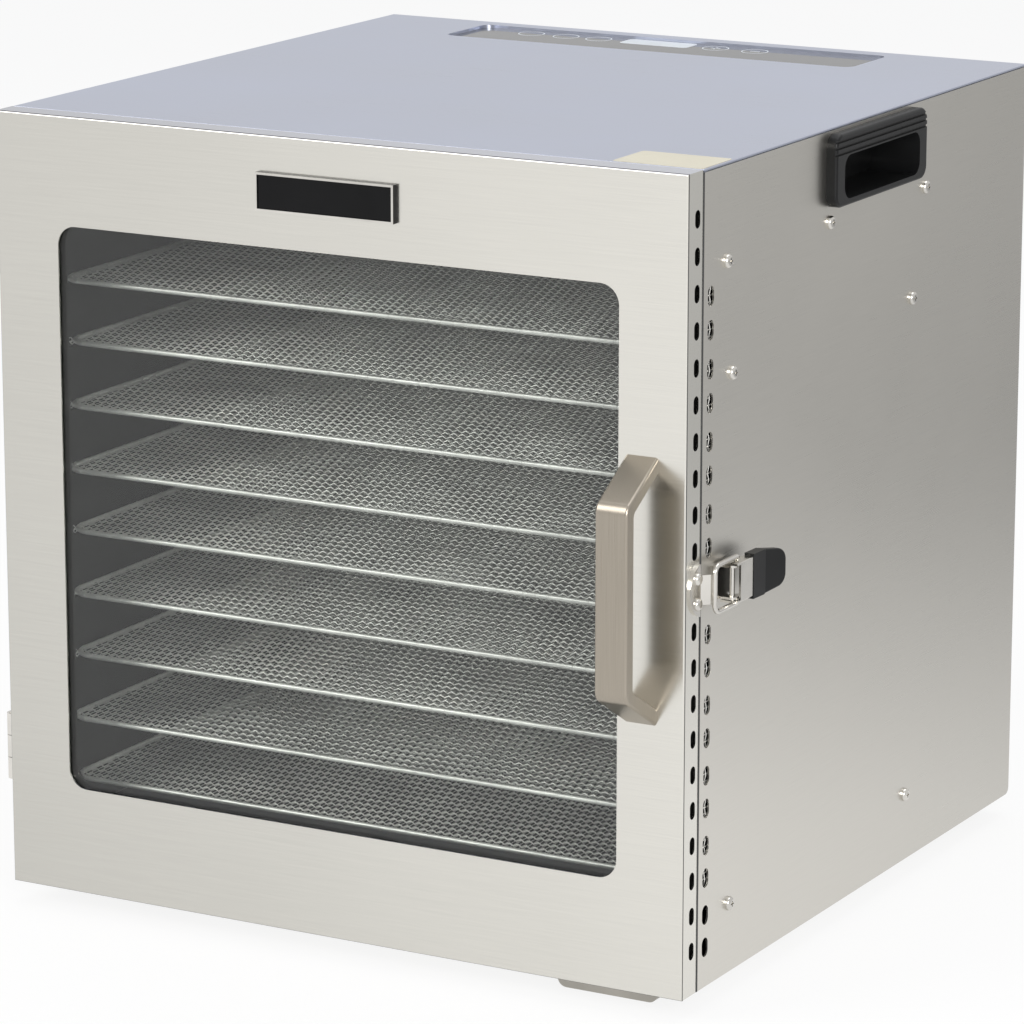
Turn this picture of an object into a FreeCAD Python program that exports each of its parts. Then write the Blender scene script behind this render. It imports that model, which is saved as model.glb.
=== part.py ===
import FreeCAD, Part
import math
import os
import re

import Sketcher

# Countertop food dehydrator: a folded sheet-metal cabinet with a side-hinged glass door,
# ten sliding mesh trays and a rear fan with a ring heater. Millimetres, +Z up.
# The origin is on the floor below the middle of the cabinet, and the door faces -Y.

Vector = FreeCAD.Vector
doc = FreeCAD.newDocument("dehydrator")

# ---------------------------------------------------------------- driving sizes

SIZES = {
    # cabinet
    "cab_width": 400.0,
    "cab_depth": 388.0,
    "set_back": 23.0,
    "cab_height": 415.0,
    "foot_height": 12.0,
    "foot_width": 57.0,
    "foot_depth": 24.0,
    "foot_round": 5.0,
    "foot_side_in": 24.5,
    "foot_end_in": 5.0,
    "foot_left_back": 17.0,
    "panel_thick": 1.0,
    "liner_thick": 0.8,
    "seam_gap": 0.5,
    "fit_gap": 0.2,
    "flange_depth": 10.0,
    "fold_round": 0.8,
    "low_corner": 4.0,
    # drying chamber
    "chamber_width": 372.0,
    "chamber_depth": 312.0,
    "chamber_low": 30.0,
    "chamber_high": 370.5,
    # air slots in the side panels, in pairs
    "side_slot_in": 8.6,
    "side_slot_long": 10.0,
    "side_slot_wide": 6.5,
    "side_slot_step": 16.9,
    "side_pair_pitch": 36.2,
    "side_upper_low": 226.5,
    "side_upper_pairs": 4,
    "side_lower_low": 20.9,
    "side_lower_pairs": 5,
    "wall_slot_extra": 1.5,
    # door
    "door_thick": 15.3,
    "door_gap": 1.0,
    "window_width": 326.0,
    "window_height": 301.0,
    "window_round": 10.5,
    "window_rise": 0.2,
    "frame_margin": 4.0,
    "glass_margin": 9.0,
    "glass_thick": 3.2,
    "seal_thick": 0.6,
    "gasket_thick": 0.75,
    "gasket_wide": 6.0,
    "door_slot_in": 10.0,
    "door_slot_long": 9.0,
    "door_slot_wide": 5.3,
    "door_slot_pitch": 18.25,
    "door_slot_count": 10,
    "door_slot_first": 20.2,
    # door handle
    "grip_side_in": 24.0,
    "grip_width": 18.0,
    "grip_bar": 7.5,
    "grip_length": 135.0,
    "grip_straight": 97.0,
    "grip_reach": 32.0,
    "grip_bend": 7.0,
    "grip_edge": 1.5,
    "grip_screw": 2.0,
    "grip_screw_spread": 120.0,
    # badge and sticker blanks
    "badge_wide": 80.0,
    "badge_high": 19.5,
    "badge_thick": 3.0,
    "badge_rim": 1.4,
    "badge_sink": 0.5,
    "badge_x": -1.5,
    "badge_rise": 386.8,
    "sticker_wide": 49.0,
    "sticker_long": 33.0,
    "sticker_thick": 0.2,
    "sticker_side_in": 1.5,
    "sticker_front_in": 1.0,
    # touch panel
    "touch_wide": 254.0,
    "touch_long": 48.0,
    "touch_round": 6.0,
    "touch_x": -5.0,
    "touch_back_in": 11.0,
    "touch_sink": 0.6,
    "touch_thick": 2.0,
    "touch_lap": 4.0,
    "board_drop": 6.0,
    "board_thick": 1.6,
    "standoff_radius": 3.0,
    # recessed side handles
    "bezel_wide": 110.0,
    "bezel_high": 37.5,
    "bezel_proud": 6.0,
    "bezel_round": 7.0,
    "bezel_edge": 1.6,
    "bezel_in": 191.0,
    "bezel_top_in": 3.0,
    "grab_wide": 91.0,
    "grab_high": 22.5,
    "grab_round": 7.0,
    "grab_depth": 22.0,
    "grab_wall": 2.0,
    "grab_low": 3.5,
    "groove_wide": 110.0,
    "groove_high": 1.4,
    "groove_deep": 1.2,
    "groove_pitch": 3.2,
    "groove_top_in": 2.8,
    # screws
    "screw_head": 3.6,
    "screw_head_high": 2.4,
    "screw_shank": 1.9,
    "screw_length": 6.0,
    "screw_cross_long": 3.0,
    "screw_cross_wide": 0.7,
    "screw_cross_deep": 1.2,
    "rear_screw_in": 7.0,
    "hole_gap": 0.1,
    # trays
    "tray_width": 366.0,
    "tray_depth": 290.0,
    "tray_round": 12.0,
    "tray_wire": 2.8,
    "tray_front_in": 12.3,
    "tray_first": 52.9,
    "tray_pitch": 33.8,
    "tray_count": 10,
    "lattice_bar": 0.9,
    "lattice_rows": 8,
    "lattice_columns": 10,
    "rail_wide": 10.0,
    "rail_thick": 1.2,
    "rail_drop": 6.0,
    "rail_end_in": 6.0,
    "rail_gap": 0.25,
    # fan, heater and rear compartment
    "fan_rise": 200.0,
    "baffle_hole": 3.0,
    "baffle_ring_first": 16.0,
    "baffle_ring_step": 14.0,
    "grille_hole": 3.2,
    "grille_ring_first": 14.0,
    "grille_ring_step": 12.0,
    "hub_radius": 18.0,
    "hub_long": 18.0,
    "fan_radius": 78.0,
    "fan_front_in": 7.0,
    "blade_thick": 1.6,
    "blade_half": 13.0,
    "blade_rake": 7.0,
    "blade_count": 6,
    "shaft_radius": 3.0,
    "shaft_gap": 0.05,
    "bracket_in": 30.0,
    "bracket_thick": 1.5,
    "bracket_wide": 130.0,
    "bracket_high": 50.0,
    "motor_radius": 31.0,
    "motor_long": 30.0,
    "boss_radius": 11.0,
    "boss_long": 5.0,
    "heater_radius": 98.0,
    "heater_wire": 3.2,
    "heater_in": 15.0,
    "heater_sweep": 330.0,
    "cutout_radius": 8.0,
    "cutout_long": 7.0,
    "cutout_x": 120.0,
    "probe_radius": 2.0,
    "probe_long": 32.0,
    "probe_x": 150.0,
    "probe_drop": 30.0,
    # mains inlet
    "inlet_x": 140.0,
    "inlet_rise": 44.0,
    "inlet_wide": 27.0,
    "inlet_high": 19.6,
    "inlet_deep": 20.0,
    "inlet_wall": 1.6,
    "inlet_flange": 9.0,
    "inlet_flange_thick": 2.4,
    # hinges
    "hinge_out": 8.6,
    "hinge_knuckle": 4.0,
    "hinge_pin": 1.6,
    "hinge_pin_gap": 0.06,
    "hinge_high": 36.0,
    "hinge_leaf": 1.2,
    "hinge_leaf_long": 13.0,
    "hinge_upper": 344.8,
    "hinge_lower": 70.0,
    "hinge_split": 12.0,
    "hinge_slack": 0.3,
    # toggle latch
    "catch_in": 3.5,
    "catch_deep": 11.0,
    "catch_half": 13.4,
    "catch_thick": 1.2,
    "rivet_radius": 3.2,
    "rivet_high": 1.9,
    "rivet_spread": 12.7,
    "rivet_in": 11.0,
    "tongue_half": 7.5,
    "tongue_out": 5.2,
    "bail_wire": 1.3,
    "bail_half": 11.8,
    "bail_round": 4.0,
    "bail_clear": 0.4,
    "pivot_in": 21.0,
    "toggle_arm": 5.5,
    "ear_half": 8.7,
    "ear_thick": 1.2,
    "ear_radius": 2.9,
    "lever_half": 10.1,
    "lever_sheet": 1.1,
    "lever_out": 11.5,
    "lever_end": 35.0,
    "latch_pin": 1.3,
    "cap_bend": 12.0,
    "cap_end": 63.0,
    "cap_half": 11.5,
    "cap_tip_half": 8.8,
    "cap_thick": 5.2,
    "cap_rise": 4.5,
    "cap_round": 6.5,
}

# Places worked out from the sizes. A name here may be used wherever a size may.
PLACES = {
    "low": "foot_height",
    "top": "foot_height + cab_height",
    "mid": "foot_height + cab_height / 2",
    "side": "cab_width / 2",
    "front": "set_back - cab_depth / 2",
    "back": "set_back + cab_depth / 2",
    "skin_in": "side - panel_thick",
    "lid_low": "top - panel_thick",
    "panel_top": "lid_low - seam_gap",
    "wall_in": "chamber_width / 2",
    "wall_out": "wall_in + liner_thick",
    "floor_top": "low + chamber_low",
    "ceiling": "low + chamber_high",
    "ceiling_top": "ceiling + liner_thick",
    "baffle_front": "front + chamber_depth",
    "baffle_back": "baffle_front + liner_thick",
    "rear_in": "back - panel_thick",
    "rear_flange": "rear_in - panel_thick - fit_gap",
    "liner_back": "rear_flange - fit_gap",
    "slot_y": "front + side_slot_in",
    "door_back": "front - door_gap",
    "door_front": "door_back - door_thick",
    "glass_front": "door_front + panel_thick + seal_thick",
    "glass_back": "glass_front + glass_thick",
    "window_mid": "mid + window_rise",
    "grip_x": "side - grip_side_in",
    "touch_y": "back - touch_back_in - touch_long / 2",
    "touch_top": "lid_low - touch_sink",
    "board_top": "touch_top - touch_thick - board_drop",
    "bezel_y": "front + bezel_in",
    "bezel_z": "top - bezel_top_in - bezel_high / 2",
    "grab_bottom": "bezel_z - bezel_high / 2 + grab_low",
    "grab_z": "grab_bottom + grab_high / 2",
    "fan_z": "low + fan_rise",
    "fan_front": "baffle_back + fan_front_in",
    "bracket_front": "baffle_back + bracket_in",
    "bracket_back": "bracket_front + bracket_thick",
    "motor_back": "bracket_back + motor_long",
    "inlet_z": "low + inlet_rise",
    "hinge_x": "-side - hinge_out",
    "hinge_y": "front - door_gap / 2",
    "catch_y": "door_front + catch_in",
    "rivet_y": "door_front + rivet_in",
    "pivot_x": "bail_x",
    "pivot_y": "front + pivot_in",
    "bail_x": "side + tongue_out + bail_wire + bail_clear",
    "bail_y": "front + 2.2",
    "bail_pivot_y": "pivot_y + toggle_arm",
    "cap_low": "side + lever_out + 0.3 - cap_thick",
    "tray_y": "front + tray_front_in + tray_depth / 2",
}

# How far each tray, from the lowest up, is pushed in from the nominal place.
TRAY_SHIFTS = [1.0, -1.5, 2.5, 0.5, 3.0, -1.0, 2.0, 4.0, 0.0, 1.5]

# Screws in each side panel: distance behind the cabinet front, and height as a share of the cabinet's.
SIDE_SCREWS = [
    (25.5, 0.8829),
    (141.0, 0.8839),
    (257.0, 0.8848),
    (242.8, 0.7475),
    (32.0, 0.7465),
    (245.4, 0.0896),
    (34.2, 0.0882),
]

# Screws in the rear panel: the side they are on, and height above the base as a share of the cabinet's.
REAR_SCREWS = [(sign, up) for sign in "-+" for up in (0.0723, 0.4988, 0.9277)]

sheet = doc.addObject("Spreadsheet::Sheet", "Size")
for index, (alias, size) in enumerate(SIZES.items()):
    sheet.set("A%d" % (index + 1), alias)
    sheet.set("B%d" % (index + 1), str(size))
    sheet.setAlias("B%d" % (index + 1), alias)
for index, shift in enumerate(TRAY_SHIFTS):
    cell = len(SIZES) + index + 1
    sheet.set("A%d" % cell, "tray_shift_%02d" % (index + 1))
    sheet.set("B%d" % cell, str(shift))
    sheet.setAlias("B%d" % cell, "tray_shift_%02d" % (index + 1))
doc.recompute()

parts = {}


# ---------------------------------------------------------------- expressions

def bound(text):
    """Turn names of sizes and places into an expression on the sheet."""
    def swap(match):
        word = match.group(0)
        if word in PLACES:
            return "(" + bound(PLACES[word]) + ")"
        if word in SIZES or word.startswith("tray_shift_"):
            return "Size." + word
        return word
    return re.sub(r"[a-z][a-z_0-9]*", swap, str(text))


def number(text):
    """The value of such an expression, in millimetres."""
    return float(sheet.evalExpression(bound(text)))


def bind(item, path, text):
    item.setExpression(path, bound(text))


# ---------------------------------------------------------------- sketches

NORMALS = {"XY": 1, "XZ": -1, "YZ": 1}


def origin_item(body, role):
    return [item for item in body.Origin.OriginFeatures if item.Role == role][0]


def new_sketch(body, plane, at, centre=("0", "0")):
    """A sketch on one of the body's own planes, shifted along its axis and to a centre."""
    sketch = body.newObject("Sketcher::SketchObject", "Sketch")
    sketch.AttachmentSupport = [(origin_item(body, plane + "_Plane"), "")]
    sketch.MapMode = "FlatFace"
    bind(sketch, ".AttachmentOffset.Base.x", centre[0])
    bind(sketch, ".AttachmentOffset.Base.y", centre[1])
    bind(sketch, ".AttachmentOffset.Base.z", "%d * (%s)" % (NORMALS[plane], at))
    return sketch


def pin(sketch, kind, geo, pos, text):
    index = sketch.addConstraint(Sketcher.Constraint(kind, -1, 1, geo, pos, number(text)))
    bind(sketch, "Constraints[%d]" % index, text)


def pin_radius(sketch, geo, text):
    index = sketch.addConstraint(Sketcher.Constraint("Radius", geo, number(text)))
    bind(sketch, "Constraints[%d]" % index, text)


def draw_poly(sketch, *points):
    values = [Vector(number(across), number(up), 0) for across, up in points]
    lines = []
    for index, start in enumerate(values):
        end = values[(index + 1) % len(values)]
        lines.append(sketch.addGeometry(Part.LineSegment(start, end), False))
    for index, line in enumerate(lines):
        follower = lines[(index + 1) % len(lines)]
        sketch.addConstraint(Sketcher.Constraint("Coincident", line, 2, follower, 1))
        pin(sketch, "DistanceX", line, 1, points[index][0])
        pin(sketch, "DistanceY", line, 1, points[index][1])


def draw_rect(sketch, left, bottom, right, upper):
    draw_poly(sketch, (left, bottom), (right, bottom), (right, upper), (left, upper))


def draw_circle(sketch, across, up, radius):
    centre = Vector(number(across), number(up), 0)
    ring = sketch.addGeometry(Part.Circle(centre, Vector(0, 0, 1), number(radius)), False)
    pin(sketch, "DistanceX", ring, 3, across)
    pin(sketch, "DistanceY", ring, 3, up)
    pin_radius(sketch, ring, radius)


def draw_arc(sketch, across, up, radius, start, end):
    circle = Part.Circle(Vector(across, up, 0), Vector(0, 0, 1), radius)
    arc = Part.ArcOfCircle(circle, math.radians(start), math.radians(end))
    return sketch.addGeometry(arc, False)


def draw_round(sketch, left, bottom, right, upper, radius):
    """A rectangle with four equal round corners."""
    x0, y0, x1, y1, r = [number(text) for text in (left, bottom, right, upper, radius)]
    corners = [
        (x0 + r, y0 + r, 180),
        (x1 - r, y0 + r, 270),
        (x1 - r, y1 - r, 0),
        (x0 + r, y1 - r, 90),
    ]
    arcs = [draw_arc(sketch, across, up, r, start, start + 90) for across, up, start in corners]
    ends = [
        (Vector(x0 + r, y0, 0), Vector(x1 - r, y0, 0)),
        (Vector(x1, y0 + r, 0), Vector(x1, y1 - r, 0)),
        (Vector(x1 - r, y1, 0), Vector(x0 + r, y1, 0)),
        (Vector(x0, y1 - r, 0), Vector(x0, y0 + r, 0)),
    ]
    lines = [sketch.addGeometry(Part.LineSegment(start, end), False) for start, end in ends]
    for index, line in enumerate(lines):
        sketch.addConstraint(Sketcher.Constraint("Tangent", arcs[index], 2, line, 1))
        sketch.addConstraint(Sketcher.Constraint("Tangent", line, 2, arcs[(index + 1) % 4], 1))
        direction = "Horizontal" if index % 2 == 0 else "Vertical"
        sketch.addConstraint(Sketcher.Constraint(direction, line))
    for arc in arcs[1:]:
        sketch.addConstraint(Sketcher.Constraint("Equal", arcs[0], arc))
    pin_radius(sketch, arcs[0], radius)
    pin(sketch, "DistanceY", lines[0], 1, bottom)
    pin(sketch, "DistanceX", lines[1], 1, right)
    pin(sketch, "DistanceY", lines[2], 1, upper)
    pin(sketch, "DistanceX", lines[3], 1, left)


def draw_slot(sketch, across, up, length, width):
    """An upright slot with round ends."""
    x, y, half, r = number(across), number(up), number(length) / 2, number(width) / 2
    upper = draw_arc(sketch, x, y + half - r, r, 0, 180)
    lower = draw_arc(sketch, x, y - half + r, r, 180, 360)
    left = Part.LineSegment(Vector(x - r, y + half - r, 0), Vector(x - r, y - half + r, 0))
    right = Part.LineSegment(Vector(x + r, y - half + r, 0), Vector(x + r, y + half - r, 0))
    left = sketch.addGeometry(left, False)
    right = sketch.addGeometry(right, False)
    for first, second in ((upper, left), (left, lower), (lower, right), (right, upper)):
        sketch.addConstraint(Sketcher.Constraint("Tangent", first, 2, second, 1))
    sketch.addConstraint(Sketcher.Constraint("Vertical", left))
    sketch.addConstraint(Sketcher.Constraint("Equal", upper, lower))
    pin_radius(sketch, upper, "(%s) / 2" % width)
    pin(sketch, "DistanceX", upper, 3, across)
    pin(sketch, "DistanceY", upper, 3, "(%s) + ((%s) - (%s)) / 2" % (up, length, width))
    pin(sketch, "DistanceY", lower, 3, "(%s) - ((%s) - (%s)) / 2" % (up, length, width))


def draw_bent(sketch, points, radii):
    """An open path of upright and level lines, with a round bend at each inner point."""
    values = [Vector(number(across), number(up), 0) for across, up in points]
    lines = []
    for index in range(len(values) - 1):
        run = (values[index + 1] - values[index]).normalize()
        start = values[index] + run * (number(radii[index - 1]) if index else 0)
        end = values[index + 1] - run * (number(radii[index]) if index < len(radii) else 0)
        lines.append(sketch.addGeometry(Part.LineSegment(start, end), False))
        upright = abs(run.x) < 1e-6
        sketch.addConstraint(Sketcher.Constraint("Vertical" if upright else "Horizontal", lines[-1]))
        if 0 < index < len(values) - 2:
            pin(sketch, "DistanceX" if upright else "DistanceY", lines[-1], 1,
                points[index][0 if upright else 1])
    for index, radius in enumerate(radii):
        corner, r = values[index + 1], number(radius)
        arriving = (corner - values[index]).normalize()
        leaving = (values[index + 2] - corner).normalize()
        centre = corner - arriving * r + leaving * r
        middle = centre + (corner - centre).normalize() * r
        arc = Part.Arc(corner - arriving * r, middle, corner + leaving * r)
        bend = sketch.addGeometry(arc, False)
        left_turn = arriving.cross(leaving).z > 0
        sketch.addConstraint(Sketcher.Constraint("Tangent", lines[index], 2, bend, 1 if left_turn else 2))
        sketch.addConstraint(Sketcher.Constraint("Tangent", bend, 2 if left_turn else 1,
                                                 lines[index + 1], 1))
        pin_radius(sketch, bend, radius)
    for line, pos, point in ((lines[0], 1, points[0]), (lines[-1], 2, points[-1])):
        pin(sketch, "DistanceX", line, pos, point[0])
        pin(sketch, "DistanceY", line, pos, point[1])


OUTLINES = {
    "poly": draw_poly,
    "rect": draw_rect,
    "circle": draw_circle,
    "round": draw_round,
    "slot": draw_slot,
}


def outline(sketch, shapes):
    for kind, *values in shapes:
        OUTLINES[kind](sketch, *values)


# ---------------------------------------------------------------- features

def new_body(label):
    body = doc.addObject("PartDesign::Body", label)
    body.Label = label
    parts[label] = body
    return body


def add(body, plane, start, length, *shapes, centre=("0", "0")):
    """Pad the outlines from start, towards the plane's positive axis."""
    sketch = new_sketch(body, plane, start, centre)
    outline(sketch, shapes)
    pad = body.newObject("PartDesign::Pad", "Pad")
    pad.Profile = sketch
    pad.Reversed = NORMALS[plane] < 0
    bind(pad, "Length", length)
    doc.recompute()
    return pad


def take(body, plane, start, length, *shapes, centre=("0", "0")):
    """Cut the outlines away from start, towards the plane's positive axis."""
    before = body.Shape.Volume
    sketch = new_sketch(body, plane, start, centre)
    outline(sketch, shapes)
    pocket = body.newObject("PartDesign::Pocket", "Pocket")
    pocket.Profile = sketch
    pocket.Reversed = NORMALS[plane] > 0
    bind(pocket, "Length", length)
    doc.recompute()
    if body.Shape.Volume >= before:
        raise RuntimeError(body.Label + ": a cut removed nothing")
    return pocket


def row(body, features, axis, span, count, backwards=False):
    """Repeat features in a row along one of the body's axes."""
    pattern = body.newObject("PartDesign::LinearPattern", "Row")
    pattern.Originals = features
    pattern.Direction = (origin_item(body, axis + "_Axis"), [""])
    pattern.Reversed = backwards
    bind(pattern, "Length", span)
    bind(pattern, "Occurrences", count)
    body.Tip = pattern
    doc.recompute()
    return pattern


def around(body, features, axis_sketch, count):
    """Repeat features in a full circle about the normal of a sketch."""
    pattern = body.newObject("PartDesign::PolarPattern", "Ring")
    pattern.Originals = features
    pattern.Axis = (axis_sketch, ["N_Axis"])
    pattern.Angle = 360
    bind(pattern, "Occurrences", count)
    body.Tip = pattern
    doc.recompute()
    return pattern


def straight_edges(shape, axis, wanted):
    """Names of the straight edges along an axis whose middle is wanted."""
    names = []
    direction = {"X": Vector(1, 0, 0), "Y": Vector(0, 1, 0), "Z": Vector(0, 0, 1)}[axis]
    for index, edge in enumerate(shape.Edges):
        if not isinstance(edge.Curve, Part.Line):
            continue
        if abs(abs(edge.Curve.Direction.dot(direction)) - 1) > 1e-6:
            continue
        if wanted(edge.CenterOfMass):
            names.append("Edge%d" % (index + 1))
    return names


def rim_edges(shape, wanted):
    """Names of all edges whose box is wanted."""
    return ["Edge%d" % (index + 1) for index, edge in enumerate(shape.Edges) if wanted(edge.BoundBox)]


def round_off(body, names, radius):
    if not names:
        raise RuntimeError(body.Label + ": no edge to round")
    base = body.Tip
    fillet = body.newObject("PartDesign::Fillet", "Fillet")
    fillet.Base = (base, names)
    bind(fillet, "Radius", radius)
    doc.recompute()
    return fillet


def near(value, text):
    return abs(value - number(text)) < 0.01


def mirrored(source, label):
    """The same piece on the other side of the cabinet's middle plane."""
    item = doc.addObject("Part::Mirroring", label)
    item.Label = label
    item.Source = source
    item.Base = Vector(0, 0, 0)
    item.Normal = Vector(1, 0, 0)
    parts[label] = item
    doc.recompute()
    return item


def form(label):
    """A body that is only copied, and isn't a piece by itself."""
    body = new_body(label)
    del parts[label]
    return body


def copies(label, source, places):
    """One node of equal pieces, each at its own place and turn about Z."""
    links = []
    for across, along, up, turn in places:
        link = doc.addObject("App::Link", label + "_copy")
        link.LinkedObject = source
        link.LinkTransform = True
        link.Placement.Rotation = FreeCAD.Rotation(Vector(0, 0, 1), turn)
        bind(link, ".Placement.Base.x", across)
        bind(link, ".Placement.Base.y", along)
        bind(link, ".Placement.Base.z", up)
        links.append(link)
    group = doc.addObject("Part::Compound", label)
    group.Label = label
    group.Links = links
    parts[label] = group
    doc.recompute()
    return group


# ---------------------------------------------------------------- cabinet shell

def make_side_panels():
    body = new_body("side_panel_right")
    add(body, "YZ", "skin_in", "panel_thick", ("rect", "front", "low", "back", "panel_top"))
    add(body, "XZ", "front", "panel_thick", ("rect", "wall_out + fit_gap", "low", "skin_in", "panel_top"))
    add(body, "XZ", "rear_flange", "panel_thick",
        ("rect", "skin_in - flange_depth", "low", "skin_in", "panel_top"))
    round_off(body, straight_edges(body.Shape, "Z", lambda p: near(p.x, "side") and near(p.y, "front")),
              "fold_round")
    round_off(body, straight_edges(body.Shape, "X", lambda p: near(p.y, "back") and near(p.z, "low")),
              "low_corner")
    for start, pairs in (("side_upper_low", "side_upper_pairs"), ("side_lower_low", "side_lower_pairs")):
        slots = take(body, "YZ", "skin_in - 1", "panel_thick + 2",
                     ("slot", "slot_y", "low + " + start, "side_slot_long", "side_slot_wide"),
                     ("slot", "slot_y", "low + side_slot_step + " + start, "side_slot_long",
                      "side_slot_wide"))
        row(body, [slots], "Z", "side_pair_pitch * (%s - 1)" % pairs, pairs)
    take(body, "YZ", "skin_in - 1", "panel_thick + 2",
         ("round", "bezel_y - grab_wide / 2 - grab_wall - fit_gap", "grab_bottom - grab_wall - fit_gap",
          "bezel_y + grab_wide / 2 + grab_wall + fit_gap",
          "grab_bottom + grab_high + grab_wall + fit_gap", "grab_round + grab_wall + fit_gap"))
    holes = [("circle", "front + %g" % along, "low + cab_height * %g" % up, "screw_shank + hole_gap")
             for along, up in SIDE_SCREWS]
    take(body, "YZ", "skin_in - 1", "panel_thick + 2", *holes)
    mirrored(body, "side_panel_left")


def make_top_cover():
    body = new_body("top_cover")
    add(body, "XY", "lid_low", "panel_thick", ("rect", "-side", "front", "side", "back"))
    skirt_x = "skin_in - fit_gap"
    skirt_front = "front + panel_thick + fit_gap"
    skirt_back = "rear_flange - fit_gap"
    add(body, "XY", "top - flange_depth", "flange_depth - panel_thick",
        ("rect", "-(%s)" % skirt_x, skirt_front, skirt_x, skirt_back),
        ("rect", "-(%s - panel_thick)" % skirt_x, skirt_front + " + panel_thick",
         "%s - panel_thick" % skirt_x, skirt_back + " - panel_thick"))
    left, right = "touch_x - touch_wide / 2", "touch_x + touch_wide / 2"
    near_y, far_y = "touch_y - touch_long / 2", "touch_y + touch_long / 2"
    add(body, "XY", "touch_top", "touch_sink",
        ("round", left + " - panel_thick", near_y + " - panel_thick", right + " + panel_thick",
         far_y + " + panel_thick", "touch_round + panel_thick"))
    take(body, "XY", "touch_top - 1", "touch_sink + panel_thick + 2",
         ("round", left, near_y, right, far_y, "touch_round"))
    upper = rim_edges(body.Shape, lambda box: near(box.ZMin, "top") and near(box.ZMax, "top")
                      and (near(abs(box.XMin), "side") or near(box.YMin, "front")
                           or near(box.YMin, "back")))
    round_off(body, upper, "fold_round / 2")


def make_rear_panel():
    body = new_body("rear_panel")
    add(body, "XZ", "rear_in", "panel_thick",
        ("rect", "-(skin_in - fit_gap)", "low", "skin_in - fit_gap", "lid_low - fit_gap"))
    take(body, "XZ", "rear_in - 1", "panel_thick + 2", ("circle", "0", "0", "grille_hole"),
         centre=("0", "fan_z"))
    for ring in range(4):
        reach = "grille_ring_first + %d * grille_ring_step" % ring
        hole = take(body, "XZ", "rear_in - 1", "panel_thick + 2", ("circle", reach, "0", "grille_hole"),
                    centre=("0", "fan_z"))
        around(body, [hole], hole.Profile[0], str(8 + 7 * ring))
    take(body, "XZ", "rear_in - 1", "panel_thick + 2",
         ("rect", "inlet_x - inlet_wide / 2 - fit_gap", "inlet_z - inlet_high / 2 - fit_gap",
          "inlet_x + inlet_wide / 2 + fit_gap", "inlet_z + inlet_high / 2 + fit_gap"))
    holes = [("circle", "%s(side - rear_screw_in)" % sign, "low + cab_height * %g" % up,
              "screw_shank + hole_gap") for sign, up in REAR_SCREWS]
    take(body, "XZ", "rear_in - 1", "panel_thick + 2", *holes)


def make_base_pan():
    body = new_body("base_pan")
    edge, near_y, far_y = "skin_in - fit_gap", "front + panel_thick + fit_gap", "rear_flange - fit_gap"
    add(body, "XY", "low", "panel_thick", ("rect", "-(%s)" % edge, near_y, edge, far_y))
    add(body, "XY", "low + panel_thick", "flange_depth",
        ("rect", "-(%s)" % edge, near_y, edge, far_y),
        ("rect", "-(%s - panel_thick)" % edge, near_y + " + panel_thick", "%s - panel_thick" % edge,
         far_y + " - panel_thick"))


def make_feet():
    foot = form("foot_form")
    add(foot, "XY", "0", "foot_height",
        ("rect", "-foot_width / 2", "-foot_depth / 2", "foot_width / 2", "foot_depth / 2"))
    round_off(foot, straight_edges(foot.Shape, "Y", lambda p: near(p.z, "0")), "foot_round")
    across = "side - foot_side_in - foot_width / 2"
    near_y, far_y = "front + foot_end_in + foot_depth / 2", "back - foot_end_in - foot_depth / 2"
    for label, sign, along in (("front_left", "-", near_y + " + foot_left_back"), ("front_right", "", near_y),
                               ("rear_left", "-", far_y), ("rear_right", "", far_y)):
        copies("foot_" + label, foot, [("%s(%s)" % (sign, across), along, "0", 0)])


def make_screws():
    """Pan-head screws with a cross recess: seven in each side panel and six in the rear panel."""
    long, wide = "screw_cross_long / 2", "screw_cross_wide / 2"
    body = new_body("side_screws_right")
    places = [("front + %g" % along, "low + cab_height * %g" % up) for along, up in SIDE_SCREWS]
    heads = [("circle", y, z, "screw_head") for y, z in places]
    shanks = [("circle", y, z, "screw_shank") for y, z in places]
    add(body, "YZ", "side", "screw_head_high", *heads)
    crown = rim_edges(body.Shape, lambda box: near(box.XMin, "side + screw_head_high"))
    round_off(body, crown, "screw_head_high * 0.75")
    add(body, "YZ", "side - screw_length", "screw_length", *shanks)
    for half_y, half_z in ((long, wide), (wide, long)):
        take(body, "YZ", "side + screw_head_high - screw_cross_deep", "screw_cross_deep + 1",
             *[("rect", "%s - %s" % (y, half_y), "%s - %s" % (z, half_z),
                "%s + %s" % (y, half_y), "%s + %s" % (z, half_z)) for y, z in places])
    mirrored(body, "side_screws_left")
    body = new_body("rear_screws")
    places = [("%s(side - rear_screw_in)" % sign, "low + cab_height * %g" % up) for sign, up in REAR_SCREWS]
    heads = [("circle", x, z, "screw_head") for x, z in places]
    shanks = [("circle", x, z, "screw_shank") for x, z in places]
    add(body, "XZ", "back", "screw_head_high", *heads)
    crown = rim_edges(body.Shape, lambda box: near(box.YMin, "back + screw_head_high"))
    round_off(body, crown, "screw_head_high * 0.75")
    add(body, "XZ", "rear_in - fit_gap / 2", "panel_thick + fit_gap / 2", *shanks)
    for half_x, half_z in ((long, wide), (wide, long)):
        take(body, "XZ", "back + screw_head_high - screw_cross_deep", "screw_cross_deep + 1",
             *[("rect", "%s - %s" % (x, half_x), "%s - %s" % (z, half_z),
                "%s + %s" % (x, half_x), "%s + %s" % (z, half_z)) for x, z in places])


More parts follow.
